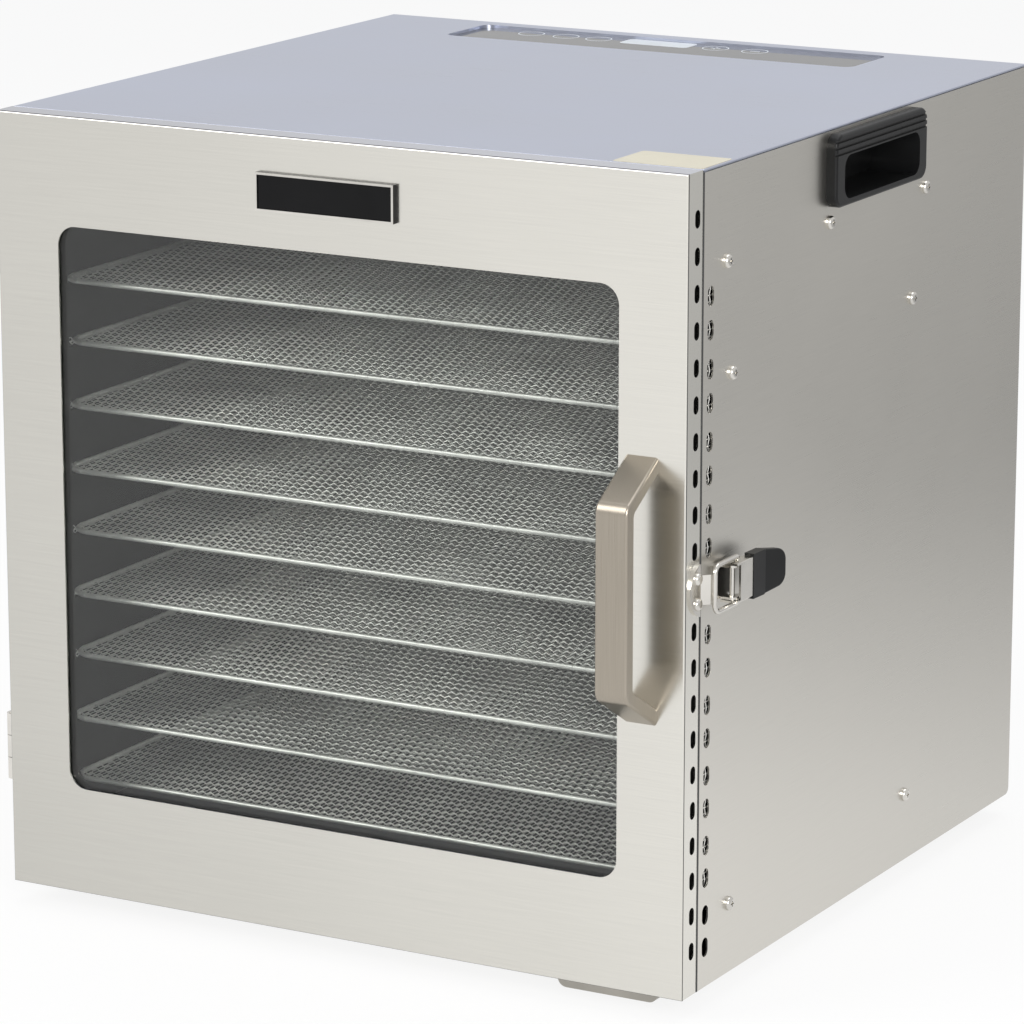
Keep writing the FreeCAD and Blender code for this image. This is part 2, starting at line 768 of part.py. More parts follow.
def make_side_handles():
    body = new_body("side_handle_right")
    low_z, high_z = "bezel_z - bezel_high / 2", "bezel_z + bezel_high / 2"
    left, right = "bezel_y - bezel_wide / 2", "bezel_y + bezel_wide / 2"
    add(body, "YZ", "side", "bezel_proud", ("round", left, low_z, right, high_z, "bezel_round"))
    crown = rim_edges(body.Shape, lambda box: near(box.XMin, "side + bezel_proud"))
    round_off(body, crown, "bezel_edge")
    grab = ("round", "bezel_y - grab_wide / 2", "grab_bottom", "bezel_y + grab_wide / 2",
            "grab_bottom + grab_high", "grab_round")
    box = ("round", "bezel_y - grab_wide / 2 - grab_wall", "grab_bottom - grab_wall",
           "bezel_y + grab_wide / 2 + grab_wall", "grab_bottom + grab_high + grab_wall",
           "grab_round + grab_wall")
    add(body, "YZ", "side - grab_depth - grab_wall", "grab_depth + grab_wall", box)
    take(body, "YZ", "side - grab_depth", "grab_depth + bezel_proud + 1", grab)
    grooves = take(body, "YZ", "side + bezel_proud - groove_deep", "groove_deep + 1",
                   ("rect", "bezel_y - groove_wide / 2", high_z + " - groove_top_in - groove_high",
                    "bezel_y + groove_wide / 2", high_z + " - groove_top_in"))
    row(body, [grooves], "Z", "2 * groove_pitch", "3", backwards=True)
    mirrored(body, "side_handle_left")


# ---------------------------------------------------------------- drying chamber

def make_inner_walls():
    body = new_body("inner_wall_right")
    add(body, "YZ", "wall_in", "liner_thick",
        ("rect", "front", "floor_top + fit_gap", "liner_back", "ceiling - fit_gap"))
    long_slot, wide_slot = "side_slot_long + wall_slot_extra", "side_slot_wide + wall_slot_extra"
    lower = "side_lower_low + side_pair_pitch"
    for start, pairs in (("side_upper_low", "side_upper_pairs"), (lower, "side_lower_pairs - 1")):
        slots = take(body, "YZ", "wall_in - 1", "liner_thick + 2",
                     ("slot", "slot_y", "low + " + start, long_slot, wide_slot),
                     ("slot", "slot_y", "low + side_slot_step + " + start, long_slot, wide_slot))
        row(body, [slots], "Z", "side_pair_pitch * (%s - 1)" % pairs, pairs)
    mirrored(body, "inner_wall_left")


def make_rails():
    body = new_body("tray_rails_right")
    upper = "low + tray_first - tray_wire / 2 - rail_gap"
    edge = "wall_in - fit_gap"
    rail = add(body, "XZ", "front + rail_end_in", "chamber_depth - 2 * rail_end_in",
               ("poly", ("wall_in - rail_wide", upper), ("wall_in - rail_wide", upper + " - rail_thick"),
                (edge + " - rail_thick", upper + " - rail_thick"),
                (edge + " - rail_thick", upper + " - rail_drop"), (edge, upper + " - rail_drop"),
                (edge, upper)))
    row(body, [rail], "Z", "tray_pitch * (tray_count - 1)", "tray_count")
    mirrored(body, "tray_rails_left")


def make_liners():
    edge = "wall_in - fit_gap"
    body = new_body("chamber_floor")
    add(body, "XY", "floor_top - liner_thick", "liner_thick", ("rect", "-(%s)" % edge, "front", edge,
                                                               "liner_back"))
    add(body, "XZ", "front", "liner_thick", ("rect", "-wall_out", "low", "wall_out",
                                             "floor_top - liner_thick"))
    body = new_body("chamber_ceiling")
    add(body, "XY", "ceiling", "liner_thick", ("rect", "-(%s)" % edge, "front", edge, "liner_back"))
    add(body, "XZ", "front", "liner_thick", ("rect", "-wall_out", "ceiling + liner_thick", "wall_out",
                                             "lid_low - fit_gap"))


def make_baffle():
    body = new_body("rear_baffle")
    edge = "wall_in - fit_gap"
    add(body, "XZ", "baffle_front", "liner_thick",
        ("rect", "-(%s)" % edge, "floor_top + fit_gap", edge, "ceiling - fit_gap"))
    for ring in range(6):
        reach = "baffle_ring_first + %d * baffle_ring_step" % ring
        hole = take(body, "XZ", "baffle_front - 1", "liner_thick + 2",
                    ("circle", reach, "0", "baffle_hole"), centre=("0", "fan_z"))
        around(body, [hole], hole.Profile[0], str(8 + 6 * ring))
    take(body, "XZ", "baffle_front - 1", "liner_thick + 2",
         ("circle", "probe_x", "ceiling - probe_drop", "probe_radius + hole_gap"))
    posts = []
    for turn in (60, 180, 300):
        across = "heater_radius * %.6f" % math.sin(math.radians(turn))
        up = "heater_radius * %.6f" % math.cos(math.radians(turn))
        posts.append(("rect", across + " - 4", up + " - 4", across + " + 4", up + " + 4"))
    add(body, "XZ", "baffle_back - liner_thick / 2", "heater_in - heater_wire - fit_gap + liner_thick / 2",
        *posts, centre=("0", "fan_z"))


def make_trays():
    tray = form("tray_form")
    reach_x, reach_y = "tray_width / 2", "tray_depth / 2"
    wire = "tray_wire / 2"
    add(tray, "XY", "-" + wire, "tray_wire",
        ("round", "-" + reach_x, "-" + reach_y, reach_x, reach_y, "tray_round"),
        ("round", "-%s + tray_wire" % reach_x, "-%s + tray_wire" % reach_y, "%s - tray_wire" % reach_x,
         "%s - tray_wire" % reach_y, "tray_round - tray_wire"))
    level = number(wire)
    round_off(tray, rim_edges(
        tray.Shape, lambda box: box.ZLength < 0.01 and abs(abs(box.ZMin) - level) < 0.01),
              "tray_wire * 0.48")
    lift = "tray_wire / 2 - lattice_bar"
    half = "lattice_bar / 2"
    gap_x = "(tray_width - tray_wire) / (lattice_columns + 1)"
    gap_y = "(tray_depth - tray_wire) / (lattice_rows + 1)"
    first_x, first_y = "-%s + %s + %s" % (reach_x, wire, gap_x), "-%s + %s + %s" % (reach_y, wire, gap_y)
    bar = add(tray, "XY", lift, "lattice_bar",
              ("rect", "%s - %s" % (first_x, half), "-%s + %s" % (reach_y, wire),
               "%s + %s" % (first_x, half), "%s - %s" % (reach_y, wire)))
    row(tray, [bar], "X", "%s * (lattice_columns - 1)" % gap_x, "lattice_columns")
    bar = add(tray, "XY", lift, "lattice_bar",
              ("rect", "-%s + %s" % (reach_x, wire), "%s - %s" % (first_y, half),
               "%s - %s" % (reach_x, wire), "%s + %s" % (first_y, half)))
    row(tray, [bar], "Y", "%s * (lattice_rows - 1)" % gap_y, "lattice_rows")
    for index in range(int(number("tray_count"))):
        label = "tray_%02d" % (index + 1)
        up = "low + tray_first + %d * tray_pitch" % index
        copies(label, tray, [("0", "tray_y + tray_shift_%02d" % (index + 1), up, 0)])


# ---------------------------------------------------------------- door

def make_door_skin():
    body = new_body("door_skin")
    window = ("round", "-window_width / 2", "window_mid - window_height / 2", "window_width / 2",
              "window_mid + window_height / 2", "window_round")
    add(body, "XZ", "door_front", "panel_thick", ("rect", "-side", "low", "side", "top"), window)
    add(body, "XZ", "door_front + panel_thick", "door_thick - panel_thick",
        ("rect", "-side", "low", "side", "top"),
        ("rect", "-skin_in", "low + panel_thick", "skin_in", "top - panel_thick"))
    front_rim = rim_edges(
        body.Shape, lambda box: near(box.YMin, "door_front") and near(box.YMax, "door_front")
                          and (near(abs(box.XMin), "side") or near(box.ZMin, "low")
                               or near(box.ZMin, "top")))
    round_off(body, front_rim, "fold_round")
    for sign, backwards in (("+", False), ("-", True)):
        slot = take(body, "YZ", "-side - 1", "cab_width + 2",
                    ("slot", "door_front + door_slot_in", "mid %s door_slot_first" % sign,
                     "door_slot_long", "door_slot_wide"))
        row(body, [slot], "Z", "door_slot_pitch * (door_slot_count - 1)", "door_slot_count", backwards)
    take(body, "YZ", "skin_in - 1", "panel_thick + 2",
         ("circle", "rivet_y", "mid - rivet_spread / 2", "screw_shank + hole_gap"),
         ("circle", "rivet_y", "mid + rivet_spread / 2", "screw_shank + hole_gap"))
    take(body, "XZ", "door_front - 1", "panel_thick + 2",
         ("circle", "grip_x", "mid - grip_screw_spread / 2", "grip_screw + hole_gap"),
         ("circle", "grip_x", "mid + grip_screw_spread / 2", "grip_screw + hole_gap"))


def window_ring(grow, radius_grow):
    """A rounded rectangle that is larger than the window all round."""
    return ("round", "-window_width / 2 - (%s)" % grow, "window_mid - window_height / 2 - (%s)" % grow,
            "window_width / 2 + (%s)" % grow, "window_mid + window_height / 2 + (%s)" % grow,
            "window_round + (%s)" % radius_grow)


def make_door_inside():
    body = new_body("door_inner_frame")
    edge = "skin_in - fit_gap"
    low_z, high_z = "low + panel_thick + fit_gap", "top - panel_thick - fit_gap"
    add(body, "XZ", "door_back - liner_thick", "liner_thick",
        ("rect", "-(%s)" % edge, low_z, edge, high_z), window_ring("frame_margin", "frame_margin"))
    add(body, "XZ", "glass_back", "door_back - liner_thick - glass_back",
        window_ring("frame_margin + liner_thick", "frame_margin + liner_thick"),
        window_ring("frame_margin", "frame_margin"))
    body = new_body("door_glass")
    add(body, "XZ", "glass_front", "glass_thick", window_ring("glass_margin", "0"))
    body = new_body("glass_seal")
    add(body, "XZ", "door_front + panel_thick", "seal_thick", window_ring("glass_margin", "0"),
        window_ring("panel_thick", "panel_thick"))
    body = new_body("door_gasket")
    edge = "wall_out + gasket_wide / 2"
    add(body, "XZ", "door_back", "gasket_thick",
        ("rect", "-(%s)" % edge, "floor_top - gasket_wide", edge, "ceiling + gasket_wide"),
        ("rect", "-(%s - gasket_wide)" % edge, "floor_top", "%s - gasket_wide" % edge, "ceiling"))


def make_door_handle():
    body = new_body("door_handle")
    outer, inner = "grip_length / 2", "grip_straight / 2"
    face, reach = "door_front", "door_front - grip_reach"
    back_face = "door_front - grip_reach + grip_bar"
    lean = "(grip_length - grip_straight) / 2 / grip_reach * grip_bar"
    foot_in = "grip_length / 2 - 1.15 * grip_bar"
    grip_in = "grip_straight / 2 - 1.15 * grip_bar + %s" % lean
    add(body, "YZ", "grip_x - grip_width / 2", "grip_width",
        ("poly", (face, "mid - " + outer), (face, "mid - (%s)" % foot_in),
         (back_face, "mid - (%s)" % grip_in), (back_face, "mid + " + grip_in),
         (face, "mid + " + foot_in), (face, "mid + " + outer), (reach, "mid + " + inner),
         (reach, "mid - " + inner)))
    round_off(body, straight_edges(body.Shape, "X", lambda p: near(p.y, reach)), "grip_bend")
    round_off(body, straight_edges(body.Shape, "X", lambda p: near(p.y, back_face)),
              "grip_bend / 2")
    sides = rim_edges(body.Shape, lambda box: box.XLength < 0.01 and box.YMin < number(face) - 0.5)
    round_off(body, sides, "grip_edge")
    take(body, "XZ", "door_front - grip_bar", "grip_bar",
         ("circle", "grip_x", "mid - grip_screw_spread / 2", "grip_screw + hole_gap"),
         ("circle", "grip_x", "mid + grip_screw_spread / 2", "grip_screw + hole_gap"))
    body = new_body("handle_screws")
    heads = [("circle", "grip_x", "mid %s grip_screw_spread / 2" % sign, "screw_head") for sign in "-+"]
    shanks = [("circle", "grip_x", "mid %s grip_screw_spread / 2" % sign, "grip_screw") for sign in "-+"]
    add(body, "XZ", "door_front + panel_thick", "screw_head_high", *heads)
    crown = rim_edges(body.Shape, lambda box: near(box.YMin, "door_front + panel_thick + screw_head_high"))
    round_off(body, crown, "screw_head_high / 2")
    add(body, "XZ", "door_front - grip_bar + 1", "grip_bar - 1 + panel_thick", *shanks)


def make_blanks():
    """The bare badge on the door and the bare sticker on the top cover."""
    body = new_body("badge_plate")
    left, right = "badge_x - badge_wide / 2", "badge_x + badge_wide / 2"
    low_z, high_z = "low + badge_rise - badge_high / 2", "low + badge_rise + badge_high / 2"
    add(body, "XZ", "door_front - badge_thick", "badge_thick", ("rect", left, low_z, right, high_z))
    take(body, "XZ", "door_front - badge_thick", "badge_sink",
         ("rect", left + " + badge_rim", low_z + " + badge_rim", right + " - badge_rim",
          high_z + " - badge_rim"))
    body = new_body("blank_sticker")
    add(body, "XY", "top", "sticker_thick",
        ("round", "side - sticker_side_in - sticker_wide", "front + sticker_front_in",
         "side - sticker_side_in", "front + sticker_front_in + sticker_long", "2"))


# ---------------------------------------------------------------- hinges

def make_hinges():
    """Two knuckle hinges. The door leaf holds the middle knuckle and the cabinet the outer two."""
    places = [("0", "0", "low + hinge_upper", 0), ("0", "0", "low + hinge_lower", 0)]
    half, split = "hinge_high / 2", "hinge_split / 2"
    leaf_x = "-side - hinge_leaf"
    ring = ("circle", "hinge_x", "hinge_y", "hinge_knuckle")
    bore = ("circle", "hinge_x", "hinge_y", "hinge_pin + hinge_pin_gap")

    door = form("hinge_door_form")
    add(door, "XY", "-" + half, "hinge_high",
        ("rect", leaf_x, "door_back - hinge_leaf_long", "-side", "door_back - hinge_slack"))
    add(door, "XY", "-" + split, "hinge_split",
        ("rect", "hinge_x", "hinge_y - hinge_knuckle", leaf_x, "hinge_y - hinge_knuckle + hinge_leaf"))
    add(door, "XY", "-" + split, "hinge_split", ring)
    take(door, "XY", "-%s - 1" % half, "hinge_high + 2", bore)
    copies("hinge_leaves_door", door, places)

    cabinet = form("hinge_cabinet_form")
    add(cabinet, "XY", "-" + half, "hinge_high",
        ("rect", leaf_x, "front + hinge_slack", "-side", "front + hinge_leaf_long"))
    outer = "hinge_high / 2 - hinge_split / 2 - hinge_slack"
    for start in ("-" + half, "hinge_split / 2 + hinge_slack"):
        add(cabinet, "XY", start, outer,
            ("rect", "hinge_x", "hinge_y + hinge_knuckle - hinge_leaf", leaf_x, "hinge_y + hinge_knuckle"))
        add(cabinet, "XY", start, outer, ring)
    take(cabinet, "XY", "-%s - 1" % half, "hinge_high + 2", bore)
    copies("hinge_leaves_cabinet", cabinet, places)

    hinge_pin = form("hinge_pin_form")
    add(hinge_pin, "XY", "-" + half, "hinge_high", ("circle", "hinge_x", "hinge_y", "hinge_pin"))
    add(hinge_pin, "XY", half, "hinge_leaf / 2", ("circle", "hinge_x", "hinge_y", "hinge_knuckle * 0.7"))
    copies("hinge_pins", hinge_pin, places)


# ---------------------------------------------------------------- toggle latch

def make_catch():
    body = new_body("catch_plate")
    radius = "(catch_deep * catch_deep + catch_half * catch_half) / (2 * catch_deep)"
    edge_y = "catch_y + catch_deep"
    add(body, "YZ", "side", "catch_thick", ("circle", "catch_y + " + radius, "mid", radius))
    take(body, "YZ", "side - 1", "catch_thick + 2",
         ("rect", edge_y, "mid - 2 * catch_half", edge_y + " + 3 * catch_deep", "mid + 2 * catch_half"))
    rise = "tongue_out - catch_thick"
    add(body, "XY", "mid - tongue_half", "2 * tongue_half",
        ("poly", ("side", edge_y + " - 2"), ("side + catch_thick", edge_y + " - 2"),
         ("side + catch_thick", edge_y), ("side + tongue_out", edge_y + " + " + rise),
         ("side + tongue_out - 0.7 * catch_thick", edge_y + " + %s + 0.7 * catch_thick" % rise),
         ("side", edge_y + " + 0.4")))
    take(body, "YZ", "side - 1", "catch_thick + 2",
         ("circle", "rivet_y", "mid - rivet_spread / 2", "screw_shank + hole_gap"),
         ("circle", "rivet_y", "mid + rivet_spread / 2", "screw_shank + hole_gap"))
    body = new_body("catch_rivets")
    domes = [("circle", "rivet_y", "mid %s rivet_spread / 2" % sign, "rivet_radius") for sign in "-+"]
    shanks = [("circle", "rivet_y", "mid %s rivet_spread / 2" % sign, "screw_shank") for sign in "-+"]
    add(body, "YZ", "side + catch_thick", "rivet_high", *domes)
    crown = rim_edges(body.Shape, lambda box: near(box.XMin, "side + catch_thick + rivet_high"))
    round_off(body, crown, "rivet_high * 0.9")
    add(body, "YZ", "skin_in - catch_thick", "panel_thick + 2 * catch_thick", *shanks)


def make_latch_base():
    body = new_body("latch_base")
    add(body, "YZ", "side", "ear_thick",
        ("rect", "pivot_y - 8", "mid - ear_half", "pivot_y + 14", "mid + ear_half"))
    for start in ("mid - ear_half", "mid + ear_half - ear_thick"):
        add(body, "XY", start, "ear_thick",
            ("rect", "side + ear_thick", "pivot_y - ear_radius", "pivot_x", "pivot_y + ear_radius"))
        add(body, "XY", start, "ear_thick", ("circle", "pivot_x", "pivot_y", "ear_radius"))
    take(body, "XY", "mid - ear_half - 1", "2 * ear_half + 2",
         ("circle", "pivot_x", "pivot_y", "latch_pin"))
    add(body, "XY", "mid - lever_half", "2 * lever_half", ("circle", "pivot_x", "pivot_y", "latch_pin"))


def make_lever():
    body = new_body("latch_lever")
    cheek = ("poly", ("side + 2.2", "pivot_y - 3.4"), ("side + lever_out", "pivot_y - 3.4"),
             ("side + lever_out", "front + lever_end"), ("cap_low", "front + lever_end"),
             ("side + 2.2", "bail_pivot_y + 3.4"))
    for start in ("mid - lever_half", "mid + lever_half - lever_sheet"):
        add(body, "XY", start, "lever_sheet", cheek)
    add(body, "XY", "mid - lever_half", "2 * lever_half",
        ("rect", "side + lever_out - lever_sheet", "pivot_y + 0.5", "side + lever_out",
         "front + lever_end"))
    take(body, "XY", "mid - lever_half - 1", "2 * lever_half + 2",
         ("circle", "pivot_x", "pivot_y", "latch_pin + shaft_gap"),
         ("circle", "pivot_x", "bail_pivot_y", "bail_wire + shaft_gap"))
    round_off(body, straight_edges(body.Shape, "Y", lambda p: near(p.x, "side + lever_out")
                                   and near(abs(p.z - number("mid")), "lever_half")), "lever_sheet / 2")


def make_lever_cap():
    body = new_body("lever_cap")
    start, end, bend = "front + lever_end", "front + cap_end", "front + lever_end + cap_bend"
    low_x = "cap_low"
    add(body, "XY", "mid - cap_half", "2 * cap_half",
        ("poly", (low_x, start), ("%s + cap_thick" % low_x, start), ("%s + cap_thick + 0.6" % low_x, bend),
         ("%s + cap_rise + cap_thick" % low_x, end), ("%s + cap_rise + 1" % low_x, end),
         ("%s + 0.4" % low_x, bend)))
    for sign in ("-", "+"):
        take(body, "YZ", "side", "cap_rise + cap_thick + 12",
             ("poly", (bend, "mid %s cap_half" % sign), (end + " + 1", "mid %s cap_tip_half" % sign),
              (end + " + 1", "mid %s 2 * cap_half" % sign), (bend, "mid %s 2 * cap_half" % sign)))
    tips = rim_edges(body.Shape, lambda box: near(box.YMin, end) and near(box.YMax, end)
                     and box.ZLength < 0.01)
    round_off(body, tips, "cap_round")
    faces = rim_edges(body.Shape, lambda box: box.YMin > number(start) + 0.1 and box.ZLength > 0.5)
    round_off(body, faces, "1")


def make_bail():
    """A bright wire loop: a front bar, two arms, and ends turned into the lever's cheeks."""
    body = new_body("bail")
    tuck = "(lever_half - lever_sheet - 0.6)"
    path = new_sketch(body, "YZ", "bail_x")
    draw_bent(path,
              [("bail_pivot_y", "mid + " + tuck), ("bail_pivot_y", "mid + bail_half"),
               ("bail_y", "mid + bail_half"), ("bail_y", "mid - bail_half"),
               ("bail_pivot_y", "mid - bail_half"), ("bail_pivot_y", "mid - " + tuck)],
              ["bail_wire * 1.2", "bail_round", "bail_round", "bail_wire * 1.2"])
    section = new_sketch(body, "XY", "mid + " + tuck, centre=("bail_x", "bail_pivot_y"))
    draw_circle(section, "0", "0", "bail_wire")
    loop = body.newObject("PartDesign::AdditivePipe", "Loop")
    loop.Profile = section
    doc.recompute()
    loop.Spine = (path, ["Edge%d" % (index + 1) for index in range(len(path.Shape.Edges))])
    doc.recompute()


def make_fan():
    body = new_body("fan_impeller")
    hub = add(body, "XZ", "fan_front", "hub_long", ("circle", "0", "0", "hub_radius"), centre=("0", "fan_z"))
    nose = rim_edges(body.Shape, lambda box: near(box.YMax, "fan_front"))
    round_off(body, nose, "hub_radius / 4")
    half, rake = "blade_half", "blade_rake"
    mid_y = "fan_front + hub_long / 2"
    blade = add(body, "XY", "fan_z + hub_radius - 2", "fan_radius - hub_radius + 2",
                ("poly", ("-" + half, "%s - %s" % (mid_y, rake)),
                 ("-%s + blade_thick / 2" % half, "%s - %s - blade_thick" % (mid_y, rake)),
                 (half, "%s + %s - blade_thick" % (mid_y, rake)), (half, "%s + %s" % (mid_y, rake))))
    around(body, [blade], hub.Profile[0], "blade_count")
    take(body, "XZ", "fan_front + hub_long / 3", "hub_long", ("circle", "0", "0", "shaft_radius"),
         centre=("0", "fan_z"))
    body = new_body("fan_shaft")
    add(body, "XZ", "fan_front + hub_long / 3", "motor_back - 4 - fan_front - hub_long / 3",
        ("circle", "0", "0", "shaft_radius"), centre=("0", "fan_z"))


def make_motor():
    centre = ("0", "fan_z")
    body = new_body("fan_motor")
    add(body, "XZ", "bracket_back", "motor_long", ("circle", "0", "0", "motor_radius"), centre=centre)
    rear = rim_edges(body.Shape, lambda box: near(box.YMin, "motor_back"))
    round_off(body, rear, "boss_long / 2")
    add(body, "XZ", "bracket_front - boss_long / 2", "bracket_thick + boss_long / 2",
        ("circle", "0", "0", "boss_radius"), centre=centre)
    take(body, "XZ", "bracket_front - boss_long", "motor_long + bracket_thick + boss_long - 3",
         ("circle", "0", "0", "shaft_radius + shaft_gap"), centre=centre)
    body = new_body("motor_bracket")
    half, high = "bracket_wide / 2", "bracket_high / 2"
    add(body, "XZ", "bracket_front", "bracket_thick", ("rect", "-" + half, "-" + high, half, high),
        centre=centre)
    take(body, "XZ", "bracket_front - 1", "bracket_thick + 2", ("circle", "0", "0", "boss_radius + fit_gap"),
         centre=centre)
    for left, right in (("-" + half, "-%s + bracket_thick" % half), ("%s - bracket_thick" % half, half)):
        add(body, "XZ", "bracket_back", "rear_in - bracket_back", ("rect", left, "-" + high, right, high),
            centre=centre)
    for left, right in (("-%s - 12" % half, "-" + half), (half, half + " + 12")):
        add(body, "XZ", "rear_in - bracket_thick", "bracket_thick", ("rect", left, "-" + high, right, high),
            centre=centre)


def make_heater():
    body = new_body("heating_element")
    section = new_sketch(body, "YZ", "0", centre=("baffle_back + heater_in", "fan_z"))
    draw_circle(section, "0", "heater_radius", "heater_wire")
    ring = body.newObject("PartDesign::Revolution", "Revolution")
    ring.Profile = section
    ring.ReferenceAxis = (section, ["H_Axis"])
    bind(ring, "Angle", "heater_sweep")
    doc.recompute()


def make_controls():
    body = new_body("touch_panel")
    left, right = "touch_x - touch_wide / 2 - touch_lap", "touch_x + touch_wide / 2 + touch_lap"
    near_y, far_y = "touch_y - touch_long / 2 - touch_lap", "touch_y + touch_long / 2 + touch_lap"
    add(body, "XY", "touch_top - touch_thick", "touch_thick",
        ("round", left, near_y, right, far_y, "touch_round + touch_lap"))
    corners = [(left + " + 8", near_y + " + 8"), (right + " - 8", near_y + " + 8"),
               (left + " + 8", far_y + " - 8"), (right + " - 8", far_y + " - 8")]
    body = new_body("control_board")
    add(body, "XY", "board_top - board_thick", "board_thick", ("rect", left, near_y, right, far_y))
    add(body, "XY", "board_top", "board_drop - fit_gap",
        ("rect", "touch_x - 38", "touch_y - 14", "touch_x + 38", "touch_y + 14"))
    body = new_body("board_standoffs")
    posts = [("circle", across, along, "standoff_radius") for across, along in corners]
    add(body, "XY", "ceiling_top", "board_top - board_thick - ceiling_top", *posts)
    body = new_body("thermal_cutout")
    add(body, "XZ", "baffle_back", "cutout_long", ("circle", "cutout_x", "fan_z", "cutout_radius"))
    for sign in ("-", "+"):
        add(body, "XZ", "baffle_back + cutout_long", "cutout_long",
            ("rect", "cutout_x %s 3 - 0.4" % sign, "fan_z - 2.4", "cutout_x %s 3 + 0.4" % sign,
             "fan_z + 2.4"))
    body = new_body("temperature_probe")
    add(body, "XZ", "baffle_back - probe_long / 2", "probe_long",
        ("circle", "probe_x", "ceiling - probe_drop", "probe_radius"))
    add(body, "XZ", "baffle_back", "probe_radius * 2",
        ("circle", "probe_x", "ceiling - probe_drop", "probe_radius * 2"))


def make_inlet():
    body = new_body("mains_inlet")
    half_x, half_z = "inlet_wide / 2", "inlet_high / 2"
    centre = ("inlet_x", "inlet_z")
    add(body, "XZ", "back", "inlet_flange_thick",
        ("round", "-%s - inlet_flange" % half_x, "-%s - 3" % half_z, "%s + inlet_flange" % half_x,
         "%s + 3" % half_z, "4"), centre=centre)
    add(body, "XZ", "back - inlet_deep", "inlet_deep", ("rect", "-" + half_x, "-" + half_z, half_x, half_z),
        centre=centre)
    take(body, "XZ", "back - inlet_deep + inlet_wall", "inlet_deep + inlet_flange_thick",
         ("rect", "-%s + inlet_wall" % half_x, "-%s + inlet_wall" % half_z, "%s - inlet_wall" % half_x,
          "%s - inlet_wall" % half_z), centre=centre)
    blades = [("rect", "%d - 1" % across, "%d - 2" % up, "%d + 1" % across, "%d + 2" % up)
              for across, up in ((-7, -2), (0, 2), (7, -2))]
    add(body, "XZ", "back - inlet_deep + inlet_wall", "inlet_deep - 4", *blades, centre=centre)


# ---------------------------------------------------------------- build, check and write

MAKERS = [
    make_side_panels,
    make_top_cover,
    make_rear_panel,
    make_base_pan,
    make_feet,
    make_screws,
    make_side_handles,
    make_inner_walls,
    make_rails,
    make_liners,
    make_baffle,
    make_trays,
    make_door_skin,
    make_door_inside,
    make_door_handle,
    make_blanks,
    make_hinges,
    make_catch,
    make_latch_base,
    make_lever,
    make_lever_cap,
    make_bail,
    make_fan,
    make_motor,
    make_heater,
    make_controls,
    make_inlet,
]

for maker in MAKERS:
    maker()

for item in doc.Objects:
    if "Invalid" in item.State or "Error" in item.State:
        raise RuntimeError(item.Label + " failed: " + str(item.State))
for label, item in parts.items():
    if item.Shape.isNull() or not item.Shape.isValid() or not item.Shape.Solids:
        raise RuntimeError(label + " has no valid shape")

os.makedirs("parts", exist_ok=True)
for label, item in parts.items():
    item.Shape.exportStep("parts/%s.step" % label)
    print("%-24s %3d solids %12.1f mm3" % (label, len(item.Shape.Solids), item.Shape.Volume))
print(len(parts), "nodes")
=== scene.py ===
"""Finishes a steel food dehydrator around its CAD frame: woven trays, marks, materials, light and camera."""

import math

import bmesh
import bpy
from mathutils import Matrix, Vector


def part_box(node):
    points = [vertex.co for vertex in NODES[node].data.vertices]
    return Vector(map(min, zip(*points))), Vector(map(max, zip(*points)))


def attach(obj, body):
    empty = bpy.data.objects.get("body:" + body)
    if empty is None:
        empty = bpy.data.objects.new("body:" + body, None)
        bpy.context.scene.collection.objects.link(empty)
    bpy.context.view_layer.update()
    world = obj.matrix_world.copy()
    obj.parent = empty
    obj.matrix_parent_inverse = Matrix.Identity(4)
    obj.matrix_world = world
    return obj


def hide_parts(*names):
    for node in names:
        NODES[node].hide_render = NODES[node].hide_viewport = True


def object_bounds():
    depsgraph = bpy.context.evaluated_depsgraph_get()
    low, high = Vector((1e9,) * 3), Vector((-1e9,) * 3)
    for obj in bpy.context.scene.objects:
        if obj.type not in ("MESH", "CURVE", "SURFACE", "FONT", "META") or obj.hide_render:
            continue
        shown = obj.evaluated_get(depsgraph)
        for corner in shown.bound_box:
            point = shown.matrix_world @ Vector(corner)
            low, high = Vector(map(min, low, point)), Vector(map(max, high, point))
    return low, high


bl_info = {
    "name": "Food dehydrator",
    "version": (1, 0, 0),
    "blender": (4, 5, 0),
    "location": "View3D > Sidebar > Dehydrator",
    "description": "Builds the trays, marks, finishes and studio of a steel food dehydrator",
    "category": "Object",
}

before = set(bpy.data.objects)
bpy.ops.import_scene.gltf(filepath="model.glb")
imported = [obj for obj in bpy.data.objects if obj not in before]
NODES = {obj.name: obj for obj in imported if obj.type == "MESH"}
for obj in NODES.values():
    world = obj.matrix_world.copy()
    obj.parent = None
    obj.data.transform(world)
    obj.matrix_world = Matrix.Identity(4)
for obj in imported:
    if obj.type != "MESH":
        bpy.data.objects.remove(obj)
CAD_LOW, CAD_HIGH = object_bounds()
TRAYS = sorted(name for name in NODES if name.startswith("tray_") and name[5:].isdigit())


# ------------------------------------------------------------------ sizes and colours


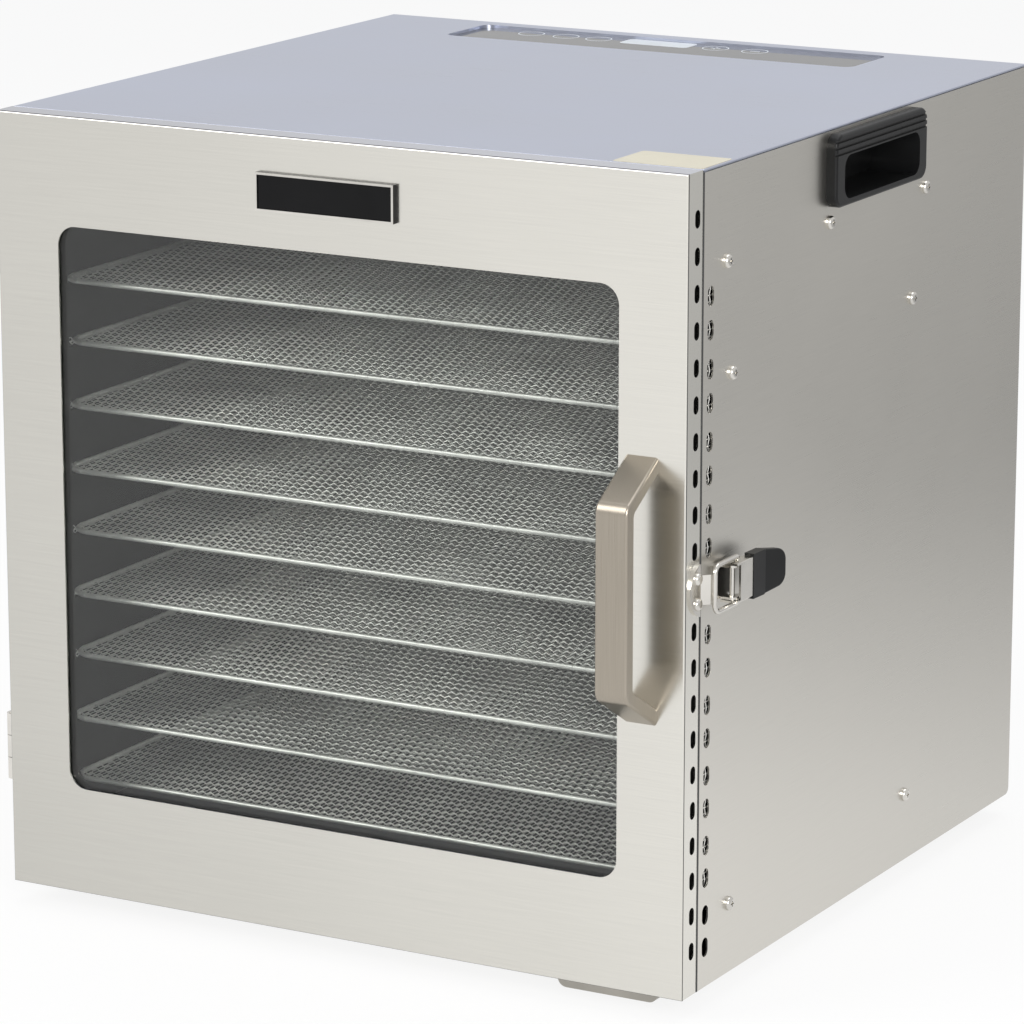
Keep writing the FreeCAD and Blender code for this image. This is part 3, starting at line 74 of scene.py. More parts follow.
class DehydratorSizes(bpy.types.PropertyGroup):
    """Sizes of the pieces modelled here."""

    rim_wire: bpy.props.FloatProperty(
        name="Rim rod", description="Diameter of the rod round a tray",
        default=0.0028, min=0.001, unit="LENGTH")
    rim_corner: bpy.props.FloatProperty(
        name="Rim corner", description="Radius at which the rim rod turns a corner",
        default=0.012, min=0.003, unit="LENGTH")
    mesh_wire: bpy.props.FloatProperty(
        name="Mesh wire", description="Diameter of the crimped wires that run from side to side",
        default=0.0010, min=0.0002, unit="LENGTH")
    mesh_warp: bpy.props.FloatProperty(
        name="Mesh warp", description="Diameter of the thinner wires that run from front to back",
        default=0.0004, min=0.0002, unit="LENGTH")
    mesh_crimp: bpy.props.FloatProperty(
        name="Mesh crimp", description="How far a woven wire rises and falls from its middle",
        default=0.0007, min=0.0001, unit="LENGTH")
    wires_across: bpy.props.IntProperty(
        name="Wires across", description="Woven wires that run from front to back, a multiple of six",
        default=144, min=6)
    wires_deep: bpy.props.IntProperty(
        name="Wires deep", description="Woven wires that run from side to side, an even number",
        default=36, min=2)
    screen_wire: bpy.props.FloatProperty(
        name="Screen wire", description="Diameter of a wire in the screens behind the side slots",
        default=0.0007, min=0.0002, unit="LENGTH")
    badge_rim: bpy.props.FloatProperty(
        name="Badge rim", description="Width of the bright frame round the bare badge",
        default=0.0011, min=0.0002, unit="LENGTH")
    mark_line: bpy.props.FloatProperty(
        name="Mark line", description="Width of a printed line on the touch panel",
        default=0.0007, min=0.0001, unit="LENGTH")
    mark_ring: bpy.props.FloatProperty(
        name="Mark ring", description="Radius of the printed ring round a touch key",
        default=0.0077, min=0.001, unit="LENGTH")


class DehydratorColours(bpy.types.PropertyGroup):
    """Colours of the finishes, as linear values."""

    door_steel: bpy.props.FloatVectorProperty(
        name="Door steel", description="Brushed steel of the door skin",
        default=(0.65, 0.635, 0.59), subtype="COLOR", min=0.0, max=1.0)
    sheet_steel: bpy.props.FloatVectorProperty(
        name="Sheet steel", description="Brushed steel of the sides and the back",
        default=(0.62, 0.60, 0.555), subtype="COLOR", min=0.0, max=1.0)
    # Painted reflection: the top cover's steel is given a bluish cast that stands in for the cool light above
    # it, which it reflects.
    top_steel: bpy.props.FloatVectorProperty(
        name="Top steel", description="Cooler steel of the top cover",
        default=(0.485, 0.515, 0.62), subtype="COLOR", min=0.0, max=1.0)
    # Painted shade: the chamber's steel is made nearly black, standing in for the shade inside the closed
    # cabinet.
    liner_steel: bpy.props.FloatVectorProperty(
        name="Liner steel", description="Steel inside the chamber",
        default=(0.055, 0.056, 0.052), subtype="COLOR", min=0.0, max=1.0)
    tray_steel: bpy.props.FloatVectorProperty(
        name="Tray steel", description="Bright wire of the trays",
        default=(0.80, 0.79, 0.76), subtype="COLOR", min=0.0, max=1.0)
    nickel: bpy.props.FloatVectorProperty(
        name="Satin nickel", description="Warm satin finish of the door handle",
        default=(0.385, 0.345, 0.29), subtype="COLOR", min=0.0, max=1.0)
    plastic: bpy.props.FloatVectorProperty(
        name="Black plastic", description="Moulded plastic of the grips and the lever cap",
        default=(0.007, 0.0072, 0.0076), subtype="COLOR", min=0.0, max=1.0)
    marks: bpy.props.FloatVectorProperty(
        name="Touch marks", description="Pale print on the touch panel",
        default=(0.62, 0.66, 0.70), subtype="COLOR", min=0.0, max=1.0)
    sticker: bpy.props.FloatVectorProperty(
        name="Blank sticker", description="Plain film of the sticker on the top cover",
        default=(0.60, 0.56, 0.44), subtype="COLOR", min=0.0, max=1.0)


# ------------------------------------------------------------------ modelling helpers


def clear_selection():
    """Deselects every object."""
    bpy.ops.object.select_all(action="DESELECT")


def make_active(piece):
    """Selects one object alone and makes it the active one."""
    clear_selection()
    piece.select_set(True)
    bpy.context.view_layer.objects.active = piece


def added(name):
    """Names the primitive that was just added and puts its place in its mesh."""
    piece = bpy.context.active_object
    piece.name = name
    piece.data.name = name
    make_active(piece)
    bpy.ops.object.transform_apply(location=True, rotation=True, scale=True)
    return piece


def choose(piece, kind, test):
    """In edit mode, selects vertices by their place and normal, or edges by their middle and direction."""
    bpy.ops.mesh.select_mode(type=kind)
    bpy.ops.mesh.select_all(action="DESELECT")
    mesh = bmesh.from_edit_mesh(piece.data)
    if kind == "VERT":
        for vertex in mesh.verts:
            vertex.select_set(test(vertex.co, vertex.normal))
    if kind == "EDGE":
        for edge in mesh.edges:
            start, end = (v.co for v in edge.verts)
            edge.select_set(test((start + end) / 2, (end - start).normalized()))
    mesh.select_flush_mode()
    bmesh.update_edit_mesh(piece.data)


def joined(name, pieces):
    """Joins the pieces into one."""
    make_active(pieces[0])
    for piece in pieces[1:]:
        piece.select_set(True)
    bpy.ops.object.join()
    whole = bpy.context.active_object
    whole.name = name
    whole.data.name = name
    return whole


def copied(piece, name, shift):
    """A copy with its own mesh, moved by shift."""
    make_active(piece)
    bpy.ops.object.duplicate()
    twin = bpy.context.active_object
    twin.name = name
    twin.data.name = name
    twin.location = shift
    bpy.ops.object.transform_apply(location=True, rotation=False, scale=False)
    return twin


def repeated(piece, count, step):
    """Repeats a piece in a row, in its own mesh."""
    make_active(piece)
    modifier = piece.modifiers.new("row", "ARRAY")
    modifier.use_relative_offset = False
    modifier.use_constant_offset = True
    modifier.constant_offset_displace = step
    modifier.count = count
    bpy.ops.object.modifier_apply(modifier=modifier.name)
    return piece


def finished(piece, body, material, angle=40):
    """Smooths a piece, gives it its finish and hangs it on its body."""
    make_active(piece)
    bpy.ops.object.shade_smooth_by_angle(angle=math.radians(angle))
    piece.data.materials.clear()
    piece.data.materials.append(material)
    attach(piece, body)
    return piece


def crimped_wire(corner, turned, offset, length, count, step, radius, rise):
    """One crimped wire, over and under each wire that it crosses.

    A subdivision makes at most a hundred parts, so a longer row is divided twice.
    """
    direction = Vector((0, 1, 0)) if turned else Vector((1, 0, 0))
    side = Vector((1, 0, 0)) if turned else Vector((0, 1, 0))
    place = corner + direction * length / 2 + side * offset
    turn = (math.pi / 2, 0, 0) if turned else (0, math.pi / 2, 0)
    bpy.ops.mesh.primitive_cylinder_add(
        vertices=4, radius=radius, depth=length, end_fill_type="NGON", location=place, rotation=turn)
    piece = added("wire")
    bpy.ops.object.mode_set(mode="EDIT")
    first = next(size for size in range(100, 0, -1) if count % size == 0)
    for parts in (first, count // first):
        if parts > 1:
            choose(piece, "EDGE", lambda middle, along: abs(along.dot(direction)) > 0.9)
            bpy.ops.mesh.subdivide(number_cuts=parts - 1)
    start = corner.dot(direction)
    for odd, move in ((0, rise), (1, -rise)):
        choose(piece, "VERT",
               lambda at, normal: round((at.dot(direction) - start) / step) % 2 == odd)
        bpy.ops.transform.translate(value=(0, 0, move))
    bpy.ops.object.mode_set(mode="OBJECT")
    return piece


def woven(corner, wide, deep, across, along, weft, warp, crimp):
    """Wires both ways over a level rectangle: across thin ones run in depth, along thick ones in width."""
    pitch_x, pitch_y = wide / (across + 1), deep / (along + 1)
    sheets = []
    for turned, count, step, other, rows, length, wire, swing in (
            (False, across + 1, pitch_x, pitch_y, along, wide, weft, crimp),
            (True, along + 1, pitch_y, pitch_x, across, deep, warp, (weft + warp) / 2 - crimp)):
        pair = []
        for row in (1, 2):
            rise = swing if (row % 2 == 0) != turned else -swing
            pair.append(crimped_wire(corner, turned, row * other, length, count, step, wire / 2, rise))
        step_on = Vector((2 * other, 0, 0)) if turned else Vector((0, 2 * other, 0))
        sheets.append(repeated(joined("wires", pair), rows // 2, step_on))
    return sheets


# ------------------------------------------------------------------ material helpers


def new_group(name, inputs, outputs):
    """An empty node group with named inputs and outputs."""
    group = bpy.data.node_groups.new(name, "ShaderNodeTree")
    for title, kind, value in inputs:
        socket = group.interface.new_socket(title, in_out="INPUT", socket_type=kind)
        socket.default_value = value
    for title, kind in outputs:
        group.interface.new_socket(title, in_out="OUTPUT", socket_type=kind)
    return group, group.nodes.new("NodeGroupInput"), group.nodes.new("NodeGroupOutput")


def noise(tree, vector, scale, detail=3.0, roughness=0.5):
    """A noise texture read at the vector."""
    node = tree.nodes.new("ShaderNodeTexNoise")
    node.inputs["Scale"].default_value = scale
    node.inputs["Detail"].default_value = detail
    node.inputs["Roughness"].default_value = roughness
    tree.links.new(vector, node.inputs["Vector"])
    return node.outputs["Fac"]


def ranged(tree, value, low, high, to_low, to_high):
    """Maps a value from one range to another, clamped. The target ends may be sockets."""
    node = tree.nodes.new("ShaderNodeMapRange")
    node.inputs["From Min"].default_value = low
    node.inputs["From Max"].default_value = high
    for title, end in (("To Min", to_low), ("To Max", to_high)):
        if isinstance(end, (int, float)):
            node.inputs[title].default_value = end
        else:
            tree.links.new(end, node.inputs[title])
    tree.links.new(value, node.inputs["Value"])
    return node.outputs["Result"]


def blended(tree, share, first, second):
    """Mixes two colours by share. Each may be a socket or a plain colour."""
    node = tree.nodes.new("ShaderNodeMix")
    node.data_type = "RGBA"
    tree.links.new(share, node.inputs["Factor"])
    for title, colour in (("A", first), ("B", second)):
        socket = next(s for s in node.inputs if s.name == title and s.type == "RGBA")
        if isinstance(colour, bpy.types.NodeSocket):
            tree.links.new(colour, socket)
        else:
            socket.default_value = (*colour, 1.0)
    return next(s for s in node.outputs if s.type == "RGBA")


def sum_of(tree, first, second, weight):
    """first plus second times weight."""
    node = tree.nodes.new("ShaderNodeMath")
    node.operation = "MULTIPLY_ADD"
    tree.links.new(second, node.inputs[0])
    node.inputs[1].default_value = weight
    tree.links.new(first, node.inputs[2])
    return node.outputs[0]


def brushed_grain():
    """Fine scratches along an axis, soft clouds of wear, painted shade that grows lighter or darker along a
    slope, and a painted bluish reflection on faces that look up.
    """
    group, given, result = new_group(
        "brushed grain",
        [("Lines", "NodeSocketVector", (60.0, 4000.0, 4000.0)),
         ("Light", "NodeSocketColor", (0.8, 0.8, 0.8, 1.0)),
         ("Dark", "NodeSocketColor", (0.6, 0.6, 0.6, 1.0)),
         ("Sweep", "NodeSocketVector", (0.0, 0.0, 0.0)),
         ("Painted reflection tint", "NodeSocketVector", (1.0, 1.0, 1.0)),
         ("Smooth", "NodeSocketFloat", 0.25),
         ("Rough", "NodeSocketFloat", 0.4)],
        [("Colour", "NodeSocketColor"), ("Roughness", "NodeSocketFloat"), ("Height", "NodeSocketFloat")])
    place = group.nodes.new("ShaderNodeTexCoord").outputs["Object"]
    stretch = group.nodes.new("ShaderNodeVectorMath")
    stretch.operation = "MULTIPLY"
    group.links.new(place, stretch.inputs[0])
    group.links.new(given.outputs["Lines"], stretch.inputs[1])
    lines = noise(group, stretch.outputs["Vector"], 1.0, 4.0, 0.65)
    clouds = noise(group, place, 7.0, 2.0)
    both = sum_of(group, lines, clouds, 0.6)
    share = ranged(group, both, 0.55, 1.05, 0.0, 1.0)
    # Painted shade: the colour grows lighter or darker in a straight slope across the part, standing in for a
    # reflection that fades.
    painted_shade_drift = group.nodes.new("ShaderNodeVectorMath")
    painted_shade_drift.operation = "DOT_PRODUCT"
    group.links.new(place, painted_shade_drift.inputs[0])
    group.links.new(given.outputs["Sweep"], painted_shade_drift.inputs[1])
    level = group.nodes.new("ShaderNodeMath")
    level.operation = "ADD"
    level.inputs[1].default_value = 1.0
    group.links.new(painted_shade_drift.outputs["Value"], level.inputs[0])
    painted_shade_swept = group.nodes.new("ShaderNodeVectorMath")
    painted_shade_swept.operation = "SCALE"
    group.links.new(
        blended(group, share, given.outputs["Dark"], given.outputs["Light"]), painted_shade_swept.inputs[0])
    group.links.new(level.outputs[0], painted_shade_swept.inputs["Scale"])
    # Painted reflection: faces that look up are tinted bluish, standing in for the cool light above that they
    # reflect. Each finish sets its own tint.
    facing = group.nodes.new("ShaderNodeSeparateXYZ")
    group.links.new(group.nodes.new("ShaderNodeNewGeometry").outputs["Normal"], facing.inputs[0])
    raised = ranged(group, facing.outputs["Z"], 0.5, 0.9, 0.0, 1.0)
    reflection_tinted = group.nodes.new("ShaderNodeVectorMath")
    reflection_tinted.operation = "MULTIPLY"
    group.links.new(painted_shade_swept.outputs["Vector"], reflection_tinted.inputs[0])
    group.links.new(
        blended(group, raised, (1.0, 1.0, 1.0), given.outputs["Painted reflection tint"]), reflection_tinted.inputs[1])
    group.links.new(reflection_tinted.outputs["Vector"], result.inputs["Colour"])
    group.links.new(
        ranged(group, both, 0.5, 1.1, given.outputs["Smooth"], given.outputs["Rough"]),
        result.inputs["Roughness"])
    group.links.new(lines, result.inputs["Height"])
    return group


def fine_texture():
    """The fine even texture of moulded, cast or coated surfaces, with faint cloudy wear."""
    group, given, result = new_group(
        "fine texture",
        [("Grain", "NodeSocketFloat", 2500.0),
         ("Light", "NodeSocketColor", (0.1, 0.1, 0.1, 1.0)),
         ("Dark", "NodeSocketColor", (0.05, 0.05, 0.05, 1.0)),
         ("Smooth", "NodeSocketFloat", 0.3),
         ("Rough", "NodeSocketFloat", 0.5)],
        [("Colour", "NodeSocketColor"), ("Roughness", "NodeSocketFloat"), ("Height", "NodeSocketFloat")])
    place = group.nodes.new("ShaderNodeTexCoord").outputs["Object"]
    grain = group.nodes.new("ShaderNodeTexNoise")
    grain.inputs["Detail"].default_value = 2.0
    group.links.new(place, grain.inputs["Vector"])
    group.links.new(given.outputs["Grain"], grain.inputs["Scale"])
    clouds = noise(group, place, 25.0, 3.0)
    share = ranged(group, clouds, 0.35, 0.65, 0.0, 1.0)
    group.links.new(
        blended(group, share, given.outputs["Dark"], given.outputs["Light"]), result.inputs["Colour"])
    group.links.new(
        ranged(group, sum_of(group, grain.outputs["Fac"], clouds, 0.8), 0.6, 1.2,
               given.outputs["Smooth"], given.outputs["Rough"]),
        result.inputs["Roughness"])
    group.links.new(grain.outputs["Fac"], result.inputs["Height"])
    return group


def finish_with(group, name, inputs, bump, distance, **shader):
    """A material whose colour, roughness and bump come from the group. Shader settings are its own."""
    material = bpy.data.materials.new(name)
    material.use_nodes = True
    tree = material.node_tree
    bsdf = tree.nodes["Principled BSDF"]
    effect = tree.nodes.new("ShaderNodeGroup")
    effect.node_tree = group
    for title, value in inputs.items():
        effect.inputs[title].default_value = (*value, 1.0) if title in ("Light", "Dark") else value
    tree.links.new(effect.outputs["Colour"], bsdf.inputs["Base Color"])
    tree.links.new(effect.outputs["Roughness"], bsdf.inputs["Roughness"])
    if bump:
        relief = tree.nodes.new("ShaderNodeBump")
        relief.inputs["Strength"].default_value = bump
        relief.inputs["Distance"].default_value = distance
        tree.links.new(effect.outputs["Height"], relief.inputs["Height"])
        tree.links.new(relief.outputs["Normal"], bsdf.inputs["Normal"])
    for title, value in shader.items():
        bsdf.inputs[title.replace("_", " ")].default_value = value
    return material


def shade(colour, factor):
    """The colour made lighter or darker by a factor."""
    return tuple(min(1.0, channel * factor) for channel in colour)


# ------------------------------------------------------------------ operators


class DEHYDRATOR_OT_finishes(bpy.types.Operator):
    """Makes every finish and puts it on the CAD nodes that have it"""

    bl_idname = "dehydrator.finishes"
    bl_label = "Finishes"

    def execute(self, context):
        colours = context.scene.dehydrator_colours
        grain, texture = brushed_grain(), fine_texture()

        def steel(name, colour, lines, smooth, rough, spread=0.04, bump=0.02,
                  sweep=(0.0, 0.0, 0.0), upward=(1.0, 1.0, 1.0)):
            return finish_with(
                grain, name,
                {"Lines": lines, "Sweep": sweep, "Painted reflection tint": upward,
                 "Light": shade(colour, 1 + spread), "Dark": shade(colour, 1 - spread),
                 "Smooth": smooth, "Rough": rough},
                bump, 0.00005, Metallic=1.0)

        def cast(name, colour, scale, smooth, rough, metallic, spread=0.12, bump=0.08, **shader):
            return finish_with(
                texture, name,
                {"Grain": scale, "Light": shade(colour, 1 + spread), "Dark": shade(colour, 1 - spread),
                 "Smooth": smooth, "Rough": rough},
                bump, 0.0001, Metallic=metallic, **shader)

        across, along, upright = (25.0, 2500.0, 2500.0), (2500.0, 25.0, 2500.0), (2500.0, 2500.0, 25.0)
        made = {
            # The door carries painted shade, lighter towards its right and its top, and a painted bluish
            # reflection on faces that look up.
            "door_steel": steel("door steel", colours.door_steel, across, 0.18, 0.26,
                                sweep=(0.55, 0.0, 0.12), upward=(0.78, 0.82, 0.98)),
            # The sides carry painted shade, darker towards the back.
            "sheet_steel": steel("sheet steel", colours.sheet_steel, along, 0.26, 0.36,
                                 sweep=(0.0, -0.35, 0.0)),
            # The top cover's bluish colour is a painted reflection of the light above.
            "top_steel": steel("top steel", colours.top_steel, across, 0.26, 0.38),
            # The liner's near black colour is painted shade inside the chamber.
            "liner_steel": steel("liner steel", colours.liner_steel, upright, 0.40, 0.55),
            "tray_steel": cast("tray steel", colours.tray_steel, 900.0, 0.30, 0.40, 0.6),
            "satin_nickel": steel("satin nickel", colours.nickel, upright, 0.26, 0.36, 0.08),
            "bright_hardware": cast("bright hardware", (0.66, 0.64, 0.60), 1500.0, 0.12, 0.24, 1.0),
            "black_plastic": cast("black plastic", colours.plastic, 2600.0, 0.30, 0.45, 0.0, 0.25, 0.15,
                                  Specular_IOR_Level=0.25),
            "foot_metal": cast("foot metal", (0.42, 0.40, 0.36), 1800.0, 0.35, 0.50, 1.0),
            "panel_gloss": cast("panel gloss", (0.012, 0.013, 0.015), 300.0, 0.05, 0.10, 0.0, 0.3, 0.0),
            "badge_gloss": cast("badge gloss", (0.004, 0.004, 0.0045), 600.0, 0.15, 0.25, 0.0, 0.3, 0.0,
                                Specular_IOR_Level=0.15),
            "sticker_film": cast("sticker film", colours.sticker, 2000.0, 0.30, 0.42, 0.0, 0.05, 0.05),
            "fan_aluminium": cast("fan aluminium", (0.62, 0.62, 0.62), 700.0, 0.30, 0.50, 1.0),
            "motor_steel": cast("motor steel", (0.35, 0.35, 0.36), 900.0, 0.35, 0.55, 1.0),
            "heater_sheath": cast("heater sheath", (0.16, 0.13, 0.11), 900.0, 0.40, 0.60, 1.0, 0.3),
            "board_laminate": cast("board laminate", (0.02, 0.10, 0.04), 900.0, 0.35, 0.50, 0.0, 0.2),
            "sensor_body": cast("sensor body", (0.70, 0.68, 0.62), 1200.0, 0.35, 0.50, 0.0),
            "seal_silicone": cast("seal silicone", (0.035, 0.035, 0.034), 1200.0, 0.50, 0.65, 0.0, 0.2),
            "window_glass": self.glass(texture),
        }
        cast("touch marks", colours.marks, 2000.0, 0.30, 0.40, 0.0, 0.05, 0.0)
        for name, piece in NODES.items():
            for place in piece.material_slots:
                slot = place.material.name.split(".")[0]
                if slot not in made:
                    raise RuntimeError(f"{name} has the unknown slot {slot}: known {sorted(made)}")
                place.material = made[slot]
        return {"FINISHED"}

    def glass(self, texture):
        """Greyish glass that lets lamp light straight through, faintly streaked by wiping."""
        material = finish_with(
            texture, "window glass",
            {"Grain": 40.0, "Light": (0.76, 0.78, 0.77), "Dark": (0.72, 0.74, 0.73),
             "Smooth": 0.0, "Rough": 0.015},
            0.0, 0.0, Metallic=0.0, Transmission_Weight=1.0, IOR=1.45, Specular_IOR_Level=0.15)
        tree = material.node_tree
        bsdf, output = tree.nodes["Principled BSDF"], tree.nodes["Material Output"]
        clear = tree.nodes.new("ShaderNodeBsdfTransparent")
        clear.inputs["Color"].default_value = (0.62, 0.64, 0.63, 1.0)
        path, mix = tree.nodes.new("ShaderNodeLightPath"), tree.nodes.new("ShaderNodeMixShader")
        tree.links.new(path.outputs["Is Shadow Ray"], mix.inputs[0])
        tree.links.new(bsdf.outputs[0], mix.inputs[1])
        tree.links.new(clear.outputs[0], mix.inputs[2])
        tree.links.new(mix.outputs[0], output.inputs["Surface"])
        return material


class DEHYDRATOR_OT_trays(bpy.types.Operator):
    """Weaves the ten wire trays, each with its own rim rod"""

    bl_idname = "dehydrator.trays"
    bl_label = "Woven trays"

    def execute(self, context):
        low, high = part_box(TRAYS[0])
        first = self.tray(context.scene.dehydrator_sizes, low, high)
        material = bpy.data.materials["tray steel"]
        for name in TRAYS:
            node_low, node_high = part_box(name)
            shift = Vector((0.0, node_low.y - low.y, node_high.z - high.z))
            piece = copied(first, "woven_" + name, shift)
            finished(piece, name, material, 100)
            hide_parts(name)
        bpy.data.objects.remove(first)
        return {"FINISHED"}

    def tray(self, sizes, low, high):
        """One tray: the rod round it, the wires both ways, and the loops that hold them to the rod."""
        rod = sizes.rim_wire / 2
        wide, deep = high.x - low.x - 2 * rod, high.y - low.y - 2 * rod
        middle = Vector(((low.x + high.x) / 2, (low.y + high.y) / 2, high.z - rod))
        pitch_x, pitch_y = wide / (sizes.wires_across + 1), deep / (sizes.wires_deep + 1)
        corner = middle - Vector((wide / 2, deep / 2, 0.0))
        pieces = [self.rim(sizes, middle, wide, deep, rod)]
        pieces += woven(corner, wide, deep, sizes.wires_across, sizes.wires_deep,
                        sizes.mesh_wire, sizes.mesh_warp, sizes.mesh_crimp)
        for turned, step, rows, far in (
                (False, 3 * pitch_x, sizes.wires_across // 3, Vector((0, deep, 0))),
                (True, pitch_y, sizes.wires_deep, Vector((wide, 0, 0)))):
            loop = self.loop(corner, turned, step, rod, sizes.mesh_wire / 4)
            along = Vector((0, step, 0)) if turned else Vector((step, 0, 0))
            loop = repeated(loop, rows, along)
            pieces += [loop, copied(loop, "loops", far)]
        return joined("tray", pieces)

    def rim(self, sizes, middle, wide, deep, rod):
        """The round rod bent to a rectangle with turned corners."""
        bpy.ops.mesh.primitive_plane_add(size=1.0, location=middle)
        bpy.context.active_object.scale = (wide, deep, 1.0)
        piece = added("rim")
        bpy.ops.object.mode_set(mode="EDIT")
        bpy.ops.mesh.select_all(action="SELECT")
        bpy.ops.mesh.bevel(offset=sizes.rim_corner, segments=5, affect="VERTICES")
        bpy.ops.mesh.select_mode(type="FACE")
        bpy.ops.mesh.select_all(action="SELECT")
        bpy.ops.mesh.delete(type="ONLY_FACE")
        bpy.ops.object.mode_set(mode="OBJECT")
        bpy.ops.object.convert(target="CURVE")
        curve = bpy.context.active_object
        curve.data.bevel_depth = rod
        curve.data.bevel_resolution = 3
        bpy.ops.object.convert(target="MESH")
        return bpy.context.active_object

    def loop(self, corner, turned, step, rod, wire):
        """The end of a wire, wrapped once round the rim rod."""
        turn = (math.pi / 2, 0, 0) if turned else (0, math.pi / 2, 0)
        place = corner + (Vector((0, step / 2, 0)) if turned else Vector((step / 2, 0, 0)))
        bpy.ops.mesh.primitive_torus_add(
            major_segments=8, minor_segments=4, major_radius=rod, minor_radius=wire,
            location=place, rotation=turn)
        piece = added("loop")
        bpy.ops.object.mode_set(mode="EDIT")
        choose(piece, "VERT", lambda at, normal: at.z < place.z - rod * 0.5)
        bpy.ops.transform.translate(value=(0, 0, wire))
        bpy.ops.object.mode_set(mode="OBJECT")
        return piece


class DEHYDRATOR_OT_vent_screens(bpy.types.Operator):
    """Hangs a strip of woven wire behind the upright row of slots in each side panel"""

    bl_idname = "dehydrator.vent_screens"
    bl_label = "Vent screens"

    def execute(self, context):
        sizes = context.scene.dehydrator_sizes
        low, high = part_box("side_panel_right")
        wide, deep = 0.310, 0.0150
        columns, rows = 90, 2
        inward, behind, above = 0.0022, 0.0015, 0.052
        wire = sizes.screen_wire
        strip = joined(
            "screen", woven(Vector((0, 0, 0)), wide, deep, columns, rows, wire, wire, wire / 2))
        make_active(strip)
        strip.rotation_euler = (0, -math.pi / 2, 0)
        strip.location = (high.x - inward, low.y + behind, low.z + above)
        bpy.ops.object.transform_apply(location=True, rotation=True, scale=True)
        material = bpy.data.materials["tray steel"]
        finished(copied(strip, "vent_screen_left", (-2 * (high.x - inward), 0, 0)),
                 "cabinet", material, 100)
        strip.name = strip.data.name = "vent_screen_right"
        finished(strip, "cabinet", material, 100)
        return {"FINISHED"}


class DEHYDRATOR_OT_badge_rim(bpy.types.Operator):
    """Lays a thin bright frame round the bare badge"""

    bl_idname = "dehydrator.badge_rim"
    bl_label = "Badge rim"

    def execute(self, context):
        sizes = context.scene.dehydrator_sizes
        proud = 0.0002
        low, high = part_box("badge_plate")
        middle = Vector(((low.x + high.x) / 2, low.y, (low.z + high.z) / 2))
        bpy.ops.mesh.primitive_plane_add(size=1.0, location=middle, rotation=(math.pi / 2, 0, 0))
        bpy.context.active_object.scale = (high.x - low.x, high.z - low.z, 1.0)
        piece = added("badge_rim")
        bpy.ops.object.mode_set(mode="EDIT")
        bpy.ops.mesh.select_all(action="SELECT")
        bpy.ops.mesh.select_mode(type="FACE")
        bpy.ops.mesh.inset(thickness=sizes.badge_rim)
        bpy.ops.mesh.delete(type="FACE")
        bpy.ops.mesh.select_all(action="SELECT")
        bpy.ops.mesh.extrude_region_move(TRANSFORM_OT_translate={"value": (0, -proud, 0)})
        bpy.ops.mesh.select_all(action="SELECT")
        bpy.ops.mesh.normals_make_consistent(inside=False)
        bpy.ops.object.mode_set(mode="OBJECT")
        finished(piece, "door", bpy.data.materials["bright hardware"])
        return {"FINISHED"}


class DEHYDRATOR_OT_gap_shade_strip(bpy.types.Operator):
    """Puts a black strip of painted shade in the gap behind the door, along the right edge of the cabinet
    front
    """

    bl_idname = "dehydrator.edge_seal"
    bl_label = "Gap shade strip"

    def execute(self, context):
        low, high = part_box("side_panel_right")
        wide, deep, rounding = 0.00175, 0.0015, 0.0002
        inward, forward = 0.000625, 0.0001
        # Painted shade: a black strip where the gap between door and cabinet falls into shade.
        bpy.ops.mesh.primitive_cube_add(
            size=1.0, location=(high.x - inward, low.y - forward, (low.z + high.z) / 2))
        bpy.context.active_object.scale = (wide, deep, high.z - low.z)
        piece = added("edge_seal")
        bpy.ops.object.mode_set(mode="EDIT")
        bpy.ops.mesh.select_all(action="SELECT")
        bpy.ops.mesh.bevel(offset=rounding, segments=2, affect="EDGES")
        bpy.ops.object.mode_set(mode="OBJECT")
        finished(piece, "cabinet", bpy.data.materials["seal silicone"])
        return {"FINISHED"}


class DEHYDRATOR_OT_door_seam_shade(bpy.types.Operator):
    """Draws a thin black line of painted shade round the front of the door skin, where its seam falls into
    shade
    """

    bl_idname = "dehydrator.door_hem"
    bl_label = "Door seam shade"

    def execute(self, context):
        low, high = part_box("door_skin")
        proud, line, back = 0.00006, 0.0006, 0.0011
        middle = Vector(((low.x + high.x) / 2, low.y + back, (low.z + high.z) / 2))
        # Painted shade: a black hairline round the door skin, standing in for the shaded seam at its edge.
        bpy.ops.mesh.primitive_plane_add(size=1.0, location=middle, rotation=(math.pi / 2, 0, 0))
        bpy.context.active_object.scale = (high.x - low.x + 2 * proud, high.z - low.z + 2 * proud, 1.0)
        piece = added("door_hem")
        bpy.ops.object.mode_set(mode="EDIT")
        bpy.ops.mesh.select_all(action="SELECT")
        bpy.ops.mesh.select_mode(type="FACE")
        bpy.ops.mesh.inset(thickness=3 * proud)
        bpy.ops.mesh.delete(type="FACE")
        bpy.ops.mesh.select_all(action="SELECT")
        bpy.ops.mesh.extrude_region_move(TRANSFORM_OT_translate={"value": (0, -line, 0)})
        bpy.ops.mesh.select_all(action="SELECT")
        bpy.ops.mesh.normals_make_consistent(inside=False)
        bpy.ops.object.mode_set(mode="OBJECT")
        finished(piece, "door", bpy.data.materials["seal silicone"])
        return {"FINISHED"}


